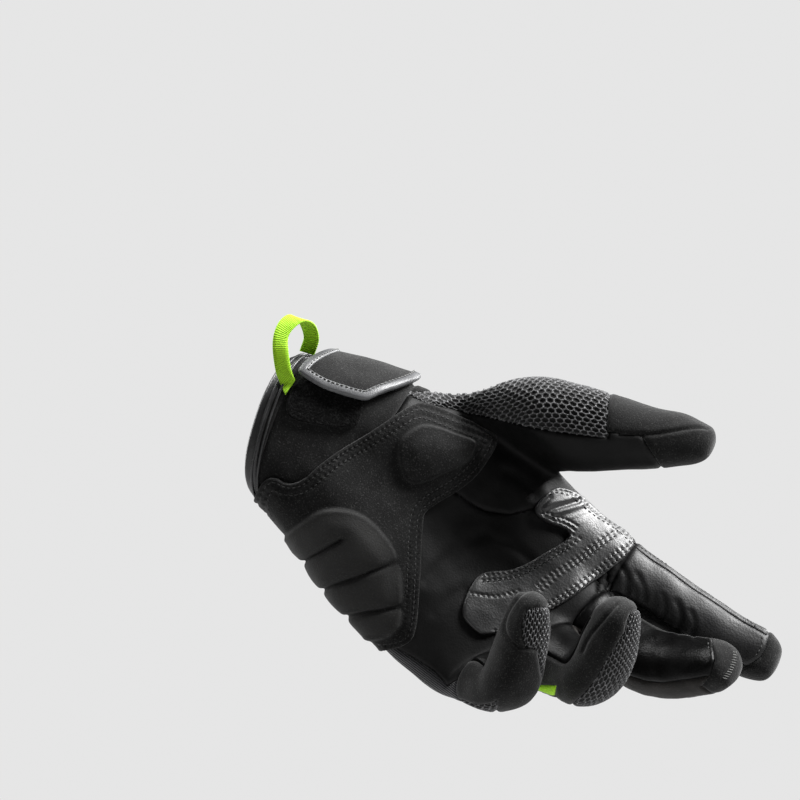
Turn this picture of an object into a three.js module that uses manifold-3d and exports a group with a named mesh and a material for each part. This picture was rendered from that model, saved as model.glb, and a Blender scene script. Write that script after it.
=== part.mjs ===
// Left-hand sport glove in its worn form, palm to the front (-Y), thumb on top, fingers to the right.
// Millimetres. The origin is the centre of the wrist opening, +X runs towards the fingers, +Z is up.
import * as THREE from "three";
import Module from "manifold-3d";
import { mergeVertices } from "three/addons/utils/BufferGeometryUtils.js";

const wasm = await Module();
wasm.setup();

// Driving sizes
const WALL = 2.0;
const SEAM = 0.5;
const INNER_SEAM = 1.2;
const BINDING_PROUD = 0.7;
const OVERLAY_LIFT = 0.6;
const OVERLAY_THICK = 1.6;
const THENAR_PAD = 2.6;
const HEEL_PAD = 3.2;
const HEEL_GROOVE = 2.4;
const GROOVE_WIDTH = 3.2;
const PATCH_THICK = 1.2;
const STRAP_THICK = 2.0;
const STRAP_LIFT_FRONT = 2.5;
const STRAP_LIFT_BACK = 1.5;
const STRAP_TAB_RISE = 1.6;
const LOOP_WIDTH = 8;
const LOOP_THICK = 1.1;
const LOOP_LIFT = 0.9;
const RING_SWELL = 1.1;

// Sections of the cuff and hand, wrist to knuckles. x, y, z: centre. turn: lean of the width from +Z
// towards +X, degrees. roll: how far the thumb edge lies behind the little-finger edge, degrees.
// wide: half width as seen from the front. palm, back: half depths. thenar, heel: swell of the two palm
// mounds. hollow: depth of the palm's hollow. bow: how far the palm side runs on towards the forearm.
const BODY = [
  {
    at: "cuff edge", x: 3, y: 0, z: -1, turn: 18, roll: 4, wide: 31.5,
    palm: 24, back: 23, thenar: 0, heel: 0, hollow: 0, bow: 10,
  },
  {
    at: "binding", x: 7, y: 0, z: -2, turn: 20, roll: 4, wide: 33,
    palm: 24, back: 23, thenar: 0, heel: 0, hollow: 0, bow: 10,
  },
  {
    at: "strap", x: 22, y: 0, z: -8.5, turn: 26.5, roll: 8, wide: 39,
    palm: 23, back: 21.5, thenar: 1, heel: 1, hollow: 0, bow: 3,
  },
  {
    at: "heel", x: 39, y: -1, z: -20, turn: 32, roll: 12, wide: 45,
    palm: 21, back: 20, thenar: 5, heel: 3, hollow: 2, bow: 0,
  },
  {
    at: "thumb root", x: 52, y: -2, z: -31, turn: 35, roll: 15, wide: 49.5,
    palm: 19, back: 19, thenar: 7, heel: 4, hollow: 4, bow: 0,
  },
  {
    at: "thumb middle", x: 67, y: -3, z: -44, turn: 39, roll: 17, wide: 51.5,
    palm: 17, back: 18, thenar: 5, heel: 3, hollow: 4, bow: 0,
  },
  {
    at: "thumb web", x: 84, y: -3, z: -58, turn: 40, roll: 19, wide: 53,
    palm: 16, back: 17, thenar: 2, heel: 2, hollow: 3, bow: 0,
  },
  {
    at: "knuckles", x: 105, y: -3, z: -76, turn: 39, roll: 22, wide: 52.5,
    palm: 15, back: 15, thenar: 0, heel: 0, hollow: 0, bow: 0,
  },
];

// Across a section: place of each row of points from the thumb edge (1) to the little-finger edge (-1).
const ACROSS = [0.93, 0.74, 0.5, 0.25, 0, -0.25, -0.5, -0.74, -0.93];
const HOLE_FROM = 4;
const HOLE_TO = 6;
const CUFF_TO = 3;

// Centre lines. x, y, z: centre. side: half width. deep: half depth. along: the way a leaning section faces.
// The first row is at the web.
const FINGERS = [
  {
    name: "index", across: [0.49, 0.24, 0.84], tipFrom: 4, rows: [
      { x: 150, y: 12, z: -65, side: 14.5, deep: 13 },
      { x: 166, y: 11, z: -74.5, side: 13.6, deep: 13 },
      { x: 182, y: 9.5, z: -84.5, side: 13, deep: 12.4 },
      { x: 197, y: 7.5, z: -93.5, side: 12.2, deep: 11.2 },
      { x: 209, y: 5, z: -99.5, side: 11, deep: 9.8 },
      { x: 218, y: 3, z: -104, side: 7.8, deep: 6.8 },
    ],
  },
  {
    name: "middle", across: [0.59, 0.48, 0.65], tipFrom: 5, rows: [
      { x: 136, y: -1, z: -83, side: 14, deep: 13 },
      { x: 148, y: -5, z: -93, side: 13.6, deep: 13 },
      { x: 160, y: -10, z: -100.5, side: 13.6, deep: 13.2 },
      { x: 171, y: -19, z: -102.5, side: 13.2, deep: 12.4 },
      { x: 180, y: -30, z: -102.5, side: 12.6, deep: 11.6 },
      { x: 189, y: -40, z: -102, side: 12, deep: 10.8 },
      { x: 195.5, y: -48.5, z: -101, side: 8.6, deep: 7.6 },
    ],
  },
  {
    name: "ring", across: [0.69, 0.66, 0.3], tipFrom: 5, rows: [
      { x: 118, y: -16, z: -97, side: 13.6, deep: 12.6 },
      { x: 128, y: -26, z: -104, side: 13.4, deep: 12.6 },
      { x: 134.5, y: -36, z: -107, side: 13.2, deep: 12.6 },
      { x: 139.5, y: -45, z: -102, side: 13, deep: 12.2 },
      { x: 143, y: -52, z: -92.5, side: 12.8, deep: 11.8 },
      { x: 146, y: -58.5, z: -82, side: 11.2, deep: 10.4 },
      { x: 148.5, y: -62, z: -73, side: 7.2, deep: 6.6 },
    ],
  },
  {
    name: "little", across: [0.76, 0.65, -0.02], tipFrom: 5, rows: [
      { x: 90, y: -28, z: -106, side: 12.4, deep: 12.4 },
      { x: 97, y: -38, z: -110.5, side: 12.4, deep: 12.2 },
      { x: 101.5, y: -46, z: -109, side: 12.2, deep: 12 },
      { x: 104, y: -50.5, z: -100.5, side: 12, deep: 11.6 },
      { x: 106.5, y: -54, z: -90.5, side: 11.2, deep: 10.6 },
      { x: 109, y: -57, z: -79.5, side: 9.4, deep: 9 },
      { x: 110, y: -59.5, z: -69, side: 6.2, deep: 6 },
    ],
  },
];
const THUMB = {
  name: "thumb", across: [0, -1, 0], rows: [
    { x: 109, y: -13, z: 0.5, side: 16.5, deep: 22, along: [0.84, 0, 0.54] },
    { x: 126, y: -17, z: 0, side: 15.5, deep: 19, along: [0.98, 0, 0.2] },
    { x: 144, y: -19, z: -3, side: 14.5, deep: 15.8 },
    { x: 162, y: -21, z: -4.5, side: 13.8, deep: 13.8 },
    { x: 180, y: -22.5, z: -6, side: 12.4, deep: 10.8 },
    { x: 191, y: -23, z: -7.5, side: 8.4, deep: 7 },
  ],
};

// The cage: points, and faces with the name of the panel each belongs to.
const cage = { points: [], faces: [] };

function addPoint(p) {
  cage.points.push(p);
  return cage.points.length - 1;
}

function addFace(panel, ...corners) {
  cage.faces.push({ panel, corners });
}

function bump(q, { at, reach }) {
  return Math.exp(-(((q - at) / reach) ** 2));
}

// A point of a hand section. q runs across it from 1 at the thumb edge to -1 at the little-finger edge.
// face: -1 is the palm side, 1 the back, 0 the edge between them.
const RIM_CROWD = 2.5;
const RIM_ROUND = 2.3;
const THENAR = { at: 0.55, reach: 0.4 };
const HEEL = { at: -0.55, reach: 0.4 };
const HOLLOW = { at: -0.02, reach: 0.3 };

function bodyPoint(row, q, face) {
  const turn = THREE.MathUtils.degToRad(row.turn);
  const roll = THREE.MathUtils.degToRad(row.roll);
  const across = new THREE.Vector3(
    Math.sin(turn) * Math.cos(roll), Math.sin(roll), Math.cos(turn) * Math.cos(roll));
  const along = new THREE.Vector3(Math.cos(turn), 0, -Math.sin(turn));
  const backward = new THREE.Vector3().crossVectors(across, along);
  const rim = (1 - Math.abs(q) ** RIM_CROWD) ** (1 / RIM_ROUND);
  let depth = row.back * rim;
  if (face < 0) {
    const mounds = row.thenar * bump(q, THENAR) + row.heel * bump(q, HEEL);
    depth = -(row.palm * rim + mounds * rim - row.hollow * bump(q, HOLLOW));
  }
  if (face === 0) depth = 0;
  return new THREE.Vector3(row.x, row.y, row.z)
    .addScaledVector(across, q * row.wide / Math.cos(roll))
    .addScaledVector(along, face < 0 ? -row.bow * rim : 0)
    .addScaledVector(backward, depth);
}

// The twenty points of a body section: thumb edge, nine on the back, little-finger edge, nine on the palm.
function bodyRing(row) {
  const ring = [bodyPoint(row, 1, 0)];
  for (const q of ACROSS) ring.push(bodyPoint(row, q, 1));
  ring.push(bodyPoint(row, -1, 0));
  for (const q of [...ACROSS].reverse()) ring.push(bodyPoint(row, q, -1));
  return ring;
}

// The eight points of a finger section: thumb side, three on the back, far side, three on the palm.
const CORNER = 0.76;
const OCTAGON = [
  [1, 0], [CORNER, CORNER], [0, 1], [-CORNER, CORNER],
  [-1, 0], [-CORNER, -CORNER], [0, -1], [CORNER, -CORNER],
];

function fingerRings(finger) {
  const centres = finger.rows.map((r) => new THREE.Vector3(r.x, r.y, r.z));
  return finger.rows.map((row, i) => {
    const before = centres[Math.max(i - 1, 0)];
    const after = centres[Math.min(i + 1, centres.length - 1)];
    const along = row.along ? new THREE.Vector3(...row.along) : after.clone().sub(before).normalize();
    const across = new THREE.Vector3(...finger.across);
    across.addScaledVector(along, -across.dot(along)).normalize();
    const backward = new THREE.Vector3().crossVectors(across, along);
    return OCTAGON.map(([s, d]) => centres[i].clone()
      .addScaledVector(across, s * row.side * RING_SWELL)
      .addScaledVector(backward, d * row.deep * RING_SWELL));
  });
}

// Body: rings of points, with a hole on the thumb edge where the thumb grows out.
const BODY_RING = 20;
const bodyRows = BODY.map((row) => bodyRing(row).map(addPoint));

function bodyPanel(j, k) {
  const onPalm = k >= 10;
  if (j === 0) return "cuff_binding";
  if (j >= CUFF_TO && j < HOLE_FROM && k === 19) return "thumb_mesh";
  if (j >= CUFF_TO && j < HOLE_FROM && k <= 1) return j === CUFF_TO ? "wrist_gusset" : "thumb_mesh";
  if (j >= HOLE_FROM && j < HOLE_TO && k >= 16) return "thumb_leather";
  if (j < CUFF_TO) return onPalm ? "cuff_palm" : "cuff_back";
  return onPalm ? "palm_leather" : "hand_back";
}

for (let j = 0; j < BODY.length - 1; j++) {
  for (let k = 0; k < BODY_RING; k++) {
    if (j >= HOLE_FROM && j < HOLE_TO && (k === 19 || k === 0)) continue;
    const n = (k + 1) % BODY_RING;
    addFace(bodyPanel(j, k), bodyRows[j][k], bodyRows[j + 1][k], bodyRows[j + 1][n], bodyRows[j][n]);
  }
}

// Fingers: the rings at the web share three points with their neighbour's.
const rings = FINGERS.map(fingerRings);
const fingerRows = rings.map((finger) => finger.map(() => []));
const WEB_PAIRS = [[3, 1], [4, 0], [5, 7]];
for (let f = 0; f < FINGERS.length; f++) {
  for (let c = 0; c < 8; c++) {
    const shared = f > 0 && WEB_PAIRS.find(([, mine]) => mine === c);
    if (shared) {
      fingerRows[f][0][c] = fingerRows[f - 1][0][shared[0]];
      continue;
    }
    const point = rings[f][0][c].clone();
    const next = f < FINGERS.length - 1 && WEB_PAIRS.find(([mine]) => mine === c);
    if (next) point.add(rings[f + 1][0][next[1]]).multiplyScalar(0.5);
    fingerRows[f][0][c] = addPoint(point);
  }
  for (let i = 1; i < rings[f].length; i++) fingerRows[f][i] = rings[f][i].map(addPoint);
}

// The last body ring joins the web rings all round.
const webRing = [fingerRows[0][0][0]];
for (const row of fingerRows) webRing.push(row[0][1], row[0][2]);
webRing.push(fingerRows[3][0][3], fingerRows[3][0][4], fingerRows[3][0][5]);
for (const row of [...fingerRows].reverse()) webRing.push(row[0][6], row[0][7]);
const lastBody = bodyRows[bodyRows.length - 1];
for (let k = 0; k < BODY_RING; k++) {
  const n = (k + 1) % BODY_RING;
  addFace(k >= 10 ? "palm_leather" : "hand_back", lastBody[k], webRing[k], webRing[n], lastBody[n]);
}

const SIDE_PANELS = {
  index: ["side_index", "fourchette_index_middle"],
  middle: ["fourchette_index_middle", "fourchette_middle_ring"],
  ring: ["fourchette_middle_ring", "fourchette_ring_little"],
  little: ["fourchette_ring_little", "side_little"],
};

function fingerPanel(finger, i, c) {
  if (i >= finger.tipFrom) return finger.name + "_tip";
  if (c === 1 || c === 2) return finger.name + "_back";
  if (c === 5 || c === 6) return finger.name + "_palm";
  return SIDE_PANELS[finger.name][c === 7 || c === 0 ? 0 : 1];
}

function sleeve(rows, first, panelOf) {
  for (let i = first; i < rows.length - 1; i++) {
    for (let c = 0; c < 8; c++) {
      const n = (c + 1) % 8;
      addFace(panelOf(i, c), rows[i][c], rows[i + 1][c], rows[i + 1][n], rows[i][n]);
    }
  }
  addFace(panelOf(rows.length - 1, 0), ...[...rows[rows.length - 1]].reverse());
}

FINGERS.forEach((finger, f) => sleeve(fingerRows[f], 0, (i, c) => fingerPanel(finger, i, c)));

// Thumb: grows out of the eight points round the hole. Its back half is mesh, its front half leather.
const thumbRows = fingerRings(THUMB).map((ring) => ring.map(addPoint));
const [h0, h1, h2] = [bodyRows[HOLE_FROM], bodyRows[HOLE_FROM + 1], bodyRows[HOLE_TO]];
thumbRows.unshift([h1[19], h0[19], h0[0], h0[1], h1[1], h2[1], h2[0], h2[19]]);
const THUMB_TIP_BACK = 3;
const THUMB_TIP_FRONT = 4;
sleeve(thumbRows, 0, (i, c) => {
  if (c < 4) return i >= THUMB_TIP_BACK ? "thumb_tip" : "thumb_mesh";
  return i >= THUMB_TIP_FRONT ? "thumb_tip" : "thumb_leather";
});

// One step of Catmull-Clark rounding. Each face keeps its panel.
function rounded({ points, faces }) {
  const out = points.map((p) => p.clone());
  const centres = faces.map(({ corners }) => {
    const c = new THREE.Vector3();
    for (const i of corners) c.add(points[i]);
    return c.divideScalar(corners.length);
  });
  const edges = new Map();
  const near = points.map(() => ({ faces: [], edges: [] }));
  faces.forEach(({ corners }, f) => corners.forEach((a, i) => {
    const b = corners[(i + 1) % corners.length];
    const key = Math.min(a, b) + "_" + Math.max(a, b);
    if (!edges.has(key)) edges.set(key, { a, b, faces: [] });
    edges.get(key).faces.push(f);
    near[a].faces.push(f);
  }));
  for (const edge of edges.values()) {
    edge.middle = points[edge.a].clone().add(points[edge.b]).multiplyScalar(0.5);
    edge.place = edge.middle.clone();
    if (edge.faces.length === 2) {
      edge.place.add(centres[edge.faces[0]].clone().add(centres[edge.faces[1]]).multiplyScalar(0.5));
      edge.place.multiplyScalar(0.5);
    }
    near[edge.a].edges.push(edge);
    near[edge.b].edges.push(edge);
    edge.index = out.push(edge.place) - 1;
  }
  points.forEach((p, i) => {
    const open = near[i].edges.filter((e) => e.faces.length === 1);
    if (open.length) {
      out[i] = p.clone().multiplyScalar(6).add(points[open[0].a === i ? open[0].b : open[0].a])
        .add(points[open[1].a === i ? open[1].b : open[1].a]).divideScalar(8);
      return;
    }
    const n = near[i].faces.length;
    if (!n) return;
    const f = new THREE.Vector3();
    for (const face of near[i].faces) f.addScaledVector(centres[face], 1 / n);
    const r = new THREE.Vector3();
    for (const edge of near[i].edges) r.addScaledVector(edge.middle, 1 / n);
    out[i] = f.add(r.multiplyScalar(2)).addScaledVector(p, n - 3).divideScalar(n);
  });
  const quads = [];
  faces.forEach(({ panel, corners }, f) => {
    const centre = out.push(centres[f]) - 1;
    corners.forEach((b, i) => {
      const a = corners[(i + corners.length - 1) % corners.length];
      const c = corners[(i + 1) % corners.length];
      const before = edges.get(Math.min(a, b) + "_" + Math.max(a, b)).index;
      const after = edges.get(Math.min(b, c) + "_" + Math.max(b, c)).index;
      quads.push({ panel, corners: [b, after, centre, before] });
    });
  });
  return { points: out, faces: quads };
}

function pointNormals({ points, faces }) {
  const normals = points.map(() => new THREE.Vector3());
  for (const { corners } of faces) {
    const [a, b, c, d] = corners.map((i) => points[i]);
    const n = new THREE.Vector3().crossVectors(c.clone().sub(a), d.clone().sub(b));
    for (const i of corners) normals[i].add(n);
  }
  return normals.map((n) => n.normalize());
}

// Normals evened out over the neighbours, so that the inner skin doesn't fold at the webs.
function evened(normals, { faces }) {
  const sums = normals.map(() => new THREE.Vector3());
  for (const { corners } of faces) {
    const mean = corners.reduce((s, i) => s.add(normals[i]), new THREE.Vector3());
    for (const i of corners) sums[i].add(mean);
  }
  return sums.map((n) => n.normalize());
}

// A closed bent slab over the chosen faces. outer(p), inner(p): how far each skin lies off the surface.
function slab(surface, chosen, outer, inner, gap) {
  const { points, normals, inward: depthNormals } = surface;
  const faces = surface.faces.filter(chosen);
  const used = new Map();
  const shift = new Map();
  const edgeCount = new Map();
  for (const { corners } of faces) {
    corners.forEach((i, n) => {
      if (!used.has(i)) used.set(i, used.size);
      const j = corners[(n + 1) % corners.length];
      edgeCount.set(i + "_" + j, { i, j });
    });
  }
  const rim = [...edgeCount.values()].filter(({ i, j }) => !edgeCount.has(j + "_" + i));
  for (const { i, j } of rim) {
    const side = normals[i].clone().cross(points[j].clone().sub(points[i])).normalize();
    for (const k of [i, j]) shift.set(k, (shift.get(k) ?? new THREE.Vector3()).add(side));
  }
  const n = used.size;
  const positions = new Float32Array(n * 6);
  for (const [i, slot] of used) {
    const top = points[i].clone();
    const under = points[i].clone();
    if (gap && shift.has(i)) {
      const inward = shift.get(i).clone();
      inward.addScaledVector(normals[i], -inward.dot(normals[i])).normalize();
      top.addScaledVector(inward, gap / 2);
      under.addScaledVector(inward, gap * INNER_SEAM);
    }
    top.addScaledVector(normals[i], outer(points[i])).toArray(positions, slot * 3);
    under.addScaledVector(depthNormals[i], inner(points[i])).toArray(positions, (n + slot) * 3);
  }
  const index = [];
  for (const { corners } of faces) {
    const [a, b, c, d] = corners.map((i) => used.get(i));
    index.push(a, b, c, a, c, d, a + n, c + n, b + n, a + n, d + n, c + n);
  }
  for (const { i, j } of rim) {
    const [a, b] = [used.get(i), used.get(j)];
    index.push(b, a, a + n, b, a + n, b + n);
  }
  const geometry = new THREE.BufferGeometry();
  geometry.setAttribute("position", new THREE.BufferAttribute(positions, 3));
  geometry.setIndex(index);
  return geometry;
}

// The leather between thumb and forefinger is drawn out a little: the pull is strongest at one point.
const WEB_PULL = { at: new THREE.Vector3(120, 0, -18), reach: 16, shift: new THREE.Vector3(7, 0, -2.5) };
for (const p of cage.points) {
  const near = Math.exp(-((p.distanceTo(WEB_PULL.at) / WEB_PULL.reach) ** 2));
  p.addScaledVector(WEB_PULL.shift, near);
}

const EVENING_PASSES = 10;
const coarse = rounded(cage);
coarse.normals = pointNormals(coarse);
coarse.inward = coarse.normals;
for (let pass = 0; pass < EVENING_PASSES; pass++) coarse.inward = evened(coarse.inward, coarse);
const fine = rounded(coarse);
fine.normals = pointNormals(fine);
fine.inward = fine.normals;

// Materials
const finish = (color, roughness) => new THREE.MeshStandardMaterial({ color, roughness, metalness: 0 });
const SUEDE = finish(0x1e1e1e, 0.95);
const LEATHER = finish(0x141414, 0.5);
const MESH = finish(0x2c2c2c, 0.8);
const KNIT = finish(0x2b2c2d, 0.9);
const FUZZ = finish(0x161616, 1);
const PIPING = finish(0x2e2e2e, 0.45);
const LIME = finish(0xb9f21a, 0.8);

const glove = new THREE.Group();

function addMesh(name, geometry, material) {
  const mesh = new THREE.Mesh(geometry, material);
  mesh.name = name;
  glove.add(mesh);
}

// Panels of the glove's wall
const PANELS = {
  cuff_palm: SUEDE, cuff_back: SUEDE, wrist_gusset: SUEDE, palm_leather: LEATHER, hand_back: KNIT,
  thumb_leather: LEATHER, thumb_mesh: MESH, thumb_tip: SUEDE,
  index_palm: LEATHER, middle_palm: LEATHER, ring_palm: LEATHER, little_palm: LEATHER,
  index_back: MESH, middle_back: MESH, ring_back: MESH, little_back: MESH,
  index_tip: SUEDE, middle_tip: SUEDE, ring_tip: SUEDE, little_tip: SUEDE,
  side_index: LEATHER, side_little: SUEDE,
  fourchette_index_middle: SUEDE, fourchette_middle_ring: SUEDE, fourchette_ring_little: LIME,
};
for (const [name, material] of Object.entries(PANELS)) {
  addMesh(name, slab(coarse, (f) => f.panel === name, () => 0, () => -WALL, SEAM), material);
}
addMesh("cuff_binding", slab(coarse, (f) => f.panel === "cuff_binding",
  () => BINDING_PROUD, () => -WALL - BINDING_PROUD, SEAM), PIPING);

// Solids for cutting
function solid(geometry) {
  geometry.deleteAttribute("normal");
  geometry.deleteAttribute("uv");
  const merged = mergeVertices(geometry, 1e-4);
  return new wasm.Manifold(new wasm.Mesh({
    numProp: 3,
    vertProperties: new Float32Array(merged.getAttribute("position").array),
    triVerts: new Uint32Array(merged.index.array),
  }));
}

function geometryOf(body) {
  const mesh = body.getMesh();
  const geometry = new THREE.BufferGeometry();
  geometry.setAttribute("position", new THREE.BufferAttribute(new Float32Array(mesh.vertProperties), 3));
  geometry.setIndex(new THREE.BufferAttribute(new Uint32Array(mesh.triVerts), 1));
  return geometry;
}

// A straight-sided cutter through the front of the glove, from an outline of x, z points.
const FRONT = -90;

function cutter(outline, backmost) {
  const shape = new THREE.Shape(outline.map(([x, z]) => new THREE.Vector2(x, z)));
  const geometry = new THREE.ExtrudeGeometry(shape, { depth: backmost - FRONT, bevelEnabled: false });
  geometry.rotateX(Math.PI / 2);
  geometry.translate(0, backmost, 0);
  return solid(geometry);
}

function segmentDistance(p, [ax, az], [bx, bz]) {
  const t = THREE.MathUtils.clamp(
    ((p.x - ax) * (bx - ax) + (p.z - az) * (bz - az)) / ((bx - ax) ** 2 + (bz - az) ** 2), 0, 1);
  return Math.hypot(p.x - ax - t * (bx - ax), p.z - az - t * (bz - az));
}

function insideDepth(p, outline) {
  let nearest = Infinity;
  let inside = false;
  outline.forEach((a, i) => {
    const b = outline[(i + 1) % outline.length];
    nearest = Math.min(nearest, segmentDistance(p, a, b));
    if ((a[1] > p.z) !== (b[1] > p.z)) {
      if (p.x < (b[0] - a[0]) * (p.z - a[1]) / (b[1] - a[1]) + a[0]) inside = !inside;
    }
  });
  return inside ? nearest : -nearest;
}

const HAND_PANELS = [
  "cuff_palm", "cuff_back", "wrist_gusset", "palm_leather", "hand_back", "thumb_leather",
  "thumb_mesh", "side_index", "index_palm", "middle_palm",
];

// A sheet laid on the hand inside an outline, as seen from the front. backmost: y of its rearmost edge.
const STEEPEST = 0.45;
const REACH_BACK = 12;
const REACH_COARSE = 9;
const REACH_FINE = 5;

function laid(surface, outline, backmost, top, bottom) {
  const reach = surface === fine ? REACH_FINE : REACH_COARSE;
  const sheet = slab(surface, ({ panel, corners }) => {
    if (!HAND_PANELS.includes(panel)) return false;
    const c = corners.reduce((s, i) => s.addScaledVector(surface.points[i], 0.25), new THREE.Vector3());
    const n = corners.reduce((s, i) => s.add(surface.normals[i]), new THREE.Vector3()).normalize();
    return n.y < STEEPEST && c.y < backmost + REACH_BACK && insideDepth(c, outline) > -reach;
  }, top, () => bottom, 0);
  return solid(sheet).intersect(cutter(outline, backmost));
}

// Padded heel patch: outline from the cuff round to the thumb mound and down the palm.
const OVERLAY_OUTLINE = [
  [-1, -20], [10, -27], [25, -13], [44, -2], [59, 8], [65, 9], [80, 3], [96, -3], [97, -6],
  [94, -13], [85, -25], [66, -36], [64, -41], [63, -75], [62, -86], [60, -92], [53, -95],
  [38, -96], [20, -80], [8, -62], [-4, -44], [-8, -32],
];
const THENAR_OUTLINE = [
  [53, -7], [59, -1], [64, 0], [71, -1], [87, -7], [86, -12], [83, -17], [62, -26], [56, -23],
];
const HEEL_OUTLINE = [
  [6, -45], [20, -36], [28, -34.5], [37, -36.5], [44, -42], [50, -49], [54, -55], [57, -66], [57, -90],
  [38, -92], [15, -78], [0, -60],
];
const HEEL_GROOVES = [
  [[10, -60.5], [30.5, -48.5]],
  [[18, -71], [54, -58]],
  [[28, -80.5], [56, -77]],
];
const PAD_EDGE = 5;
const PAD_SKIRT = 1;
const PAD_SUNK = 0.6;
const OVERLAY_BACK = 2;

function padHeight(p) {
  const rise = (outline, height) =>
    height * THREE.MathUtils.smoothstep(insideDepth(p, outline), -PAD_SKIRT, PAD_EDGE);
  let height = Math.max(rise(THENAR_OUTLINE, THENAR_PAD), rise(HEEL_OUTLINE, HEEL_PAD));
  for (const [a, b] of HEEL_GROOVES) {
    const d = segmentDistance(p, a, b);
    height -= Math.min(height, HEEL_GROOVE * Math.exp(-((d / GROOVE_WIDTH) ** 2)));
  }
  return height;
}
const overlayTop = () => OVERLAY_LIFT + OVERLAY_THICK;
const padded = (p) => overlayTop() + padHeight(p);
const overlay = laid(coarse, OVERLAY_OUTLINE, OVERLAY_BACK, overlayTop, OVERLAY_LIFT)
  .add(laid(fine, THENAR_OUTLINE, OVERLAY_BACK, padded, OVERLAY_LIFT + PAD_SUNK))
  .add(laid(fine, HEEL_OUTLINE, OVERLAY_BACK, padded, OVERLAY_LIFT + PAD_SUNK));
addMesh("palm_overlay", geometryOf(overlay), SUEDE);

// Stitched reinforcement across the finger roots, with its lobe in the thumb crotch
const GRIP_OUTLINE = [
  [125, -25], [118, -29], [112.5, -34.5], [115, -40.5], [121, -44], [127, -46], [128, -50],
  [111, -60.5], [102, -63.5], [89.5, -63], [84, -70], [80.5, -80], [85, -86], [92, -91],
  [121, -79], [157, -54], [152, -47], [140, -37], [131, -27],
];
const GRIP_BACK = 8;
const patchTop = () => OVERLAY_LIFT + PATCH_THICK;
const grip = laid(coarse, GRIP_OUTLINE, GRIP_BACK, patchTop, OVERLAY_LIFT);
addMesh("grip_patch", geometryOf(grip), LEATHER);

// Fuzzy half of the hook-and-loop closure, under the strap's free end
const LOOP_OUTLINE = [
  [6, 8], [8, 15], [13, 20], [20, 26], [38, 26], [39, 14], [38, 2], [35, -1], [26, -1], [8, 2],
];
const LOOP_BACK = -6;
const fuzzy = laid(coarse, LOOP_OUTLINE, LOOP_BACK, patchTop, OVERLAY_LIFT);
addMesh("loop_patch", geometryOf(fuzzy), FUZZ);

// Bands: a grid of points seated on the glove, u along the band and v across it
function handMesh() {
  const index = [];
  for (const { panel, corners: [a, b, c, d] } of fine.faces) {
    if (HAND_PANELS.includes(panel) || panel === "cuff_binding") index.push(a, b, c, a, c, d);
  }
  const geometry = new THREE.BufferGeometry();
  const positions = fine.points.flatMap((p) => p.toArray());
  geometry.setAttribute("position", new THREE.Float32BufferAttribute(positions, 3));
  geometry.setIndex(index);
  return new THREE.Mesh(geometry, new THREE.MeshBasicMaterial({ side: THREE.DoubleSide }));
}
const hand = handMesh();
const SEAT_FROM = 12;

function seat(point, outward) {
  const from = point.clone().addScaledVector(outward, SEAT_FROM);
  const ray = new THREE.Raycaster(from, outward.clone().negate());
  const hit = ray.intersectObject(hand)[0];
  return hit ? hit.point : point;
}

function band(uCount, vCount, place, panelOf) {
  const points = [];
  const faces = [];
  for (let u = 0; u <= uCount; u++) {
    for (let v = 0; v <= vCount; v++) points.push(place(u, v));
  }
  const at = (u, v) => u * (vCount + 1) + v;
  for (let u = 0; u < uCount; u++) {
    for (let v = 0; v < vCount; v++) {
      const corners = [at(u, v), at(u, v + 1), at(u + 1, v + 1), at(u + 1, v)];
      faces.push({ panel: panelOf(u, v), corners });
    }
  }
  const surface = { points, faces };
  surface.normals = pointNormals(surface);
  surface.inward = surface.normals;
  return surface;
}

// Wrist strap: from its free tab on the palm side, over the thumb edge, to the far end of the back.
// angle: place round the wrist, 0 at the thumb edge, degrees. near, far: its two edges, in body rows.
const STRAP_STEPS = [
  { angle: -61, near: 1.24, far: 2.42 }, { angle: -54, near: 1.13, far: 2.55 },
  { angle: -41, near: 1.09, far: 2.7 }, { angle: -26, near: 1.15, far: 2.8 },
  { angle: -10, near: 1.26, far: 2.85 }, { angle: 6, near: 1.34, far: 2.86 },
  { angle: 24, near: 1.34, far: 2.86 }, { angle: 46, near: 1.34, far: 2.86 },
  { angle: 72, near: 1.34, far: 2.86 }, { angle: 98, near: 1.34, far: 2.86 },
  { angle: 122, near: 1.34, far: 2.86 }, { angle: 146, near: 1.34, far: 2.86 },
];
const STRAP_ACROSS = [0, 0.08, 0.36, 0.64, 0.92, 1];
// How far each column of the free end runs on beyond its first row, degrees
const TAB_RUNS_ON = [-5, -1, 4, 5, 0, -6];
const TAB_FROM = 30;
const TAB_TO = 52;
const STRAP_SEAM = 0.9;
const TANGENT_ROWS = 0.1;
const TANGENT_DEGREES = 4;

function bodyBetween(at) {
  const low = Math.min(Math.floor(at), BODY.length - 2);
  const mixed = {};
  for (const key of Object.keys(BODY[low])) {
    if (key !== "at") mixed[key] = THREE.MathUtils.lerp(BODY[low][key], BODY[low + 1][key], at - low);
  }
  return mixed;
}

function onBody(at, degrees) {
  const angle = THREE.MathUtils.degToRad(degrees);
  return bodyPoint(bodyBetween(at), Math.cos(angle), Math.sign(Math.round(degrees)));
}

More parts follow.
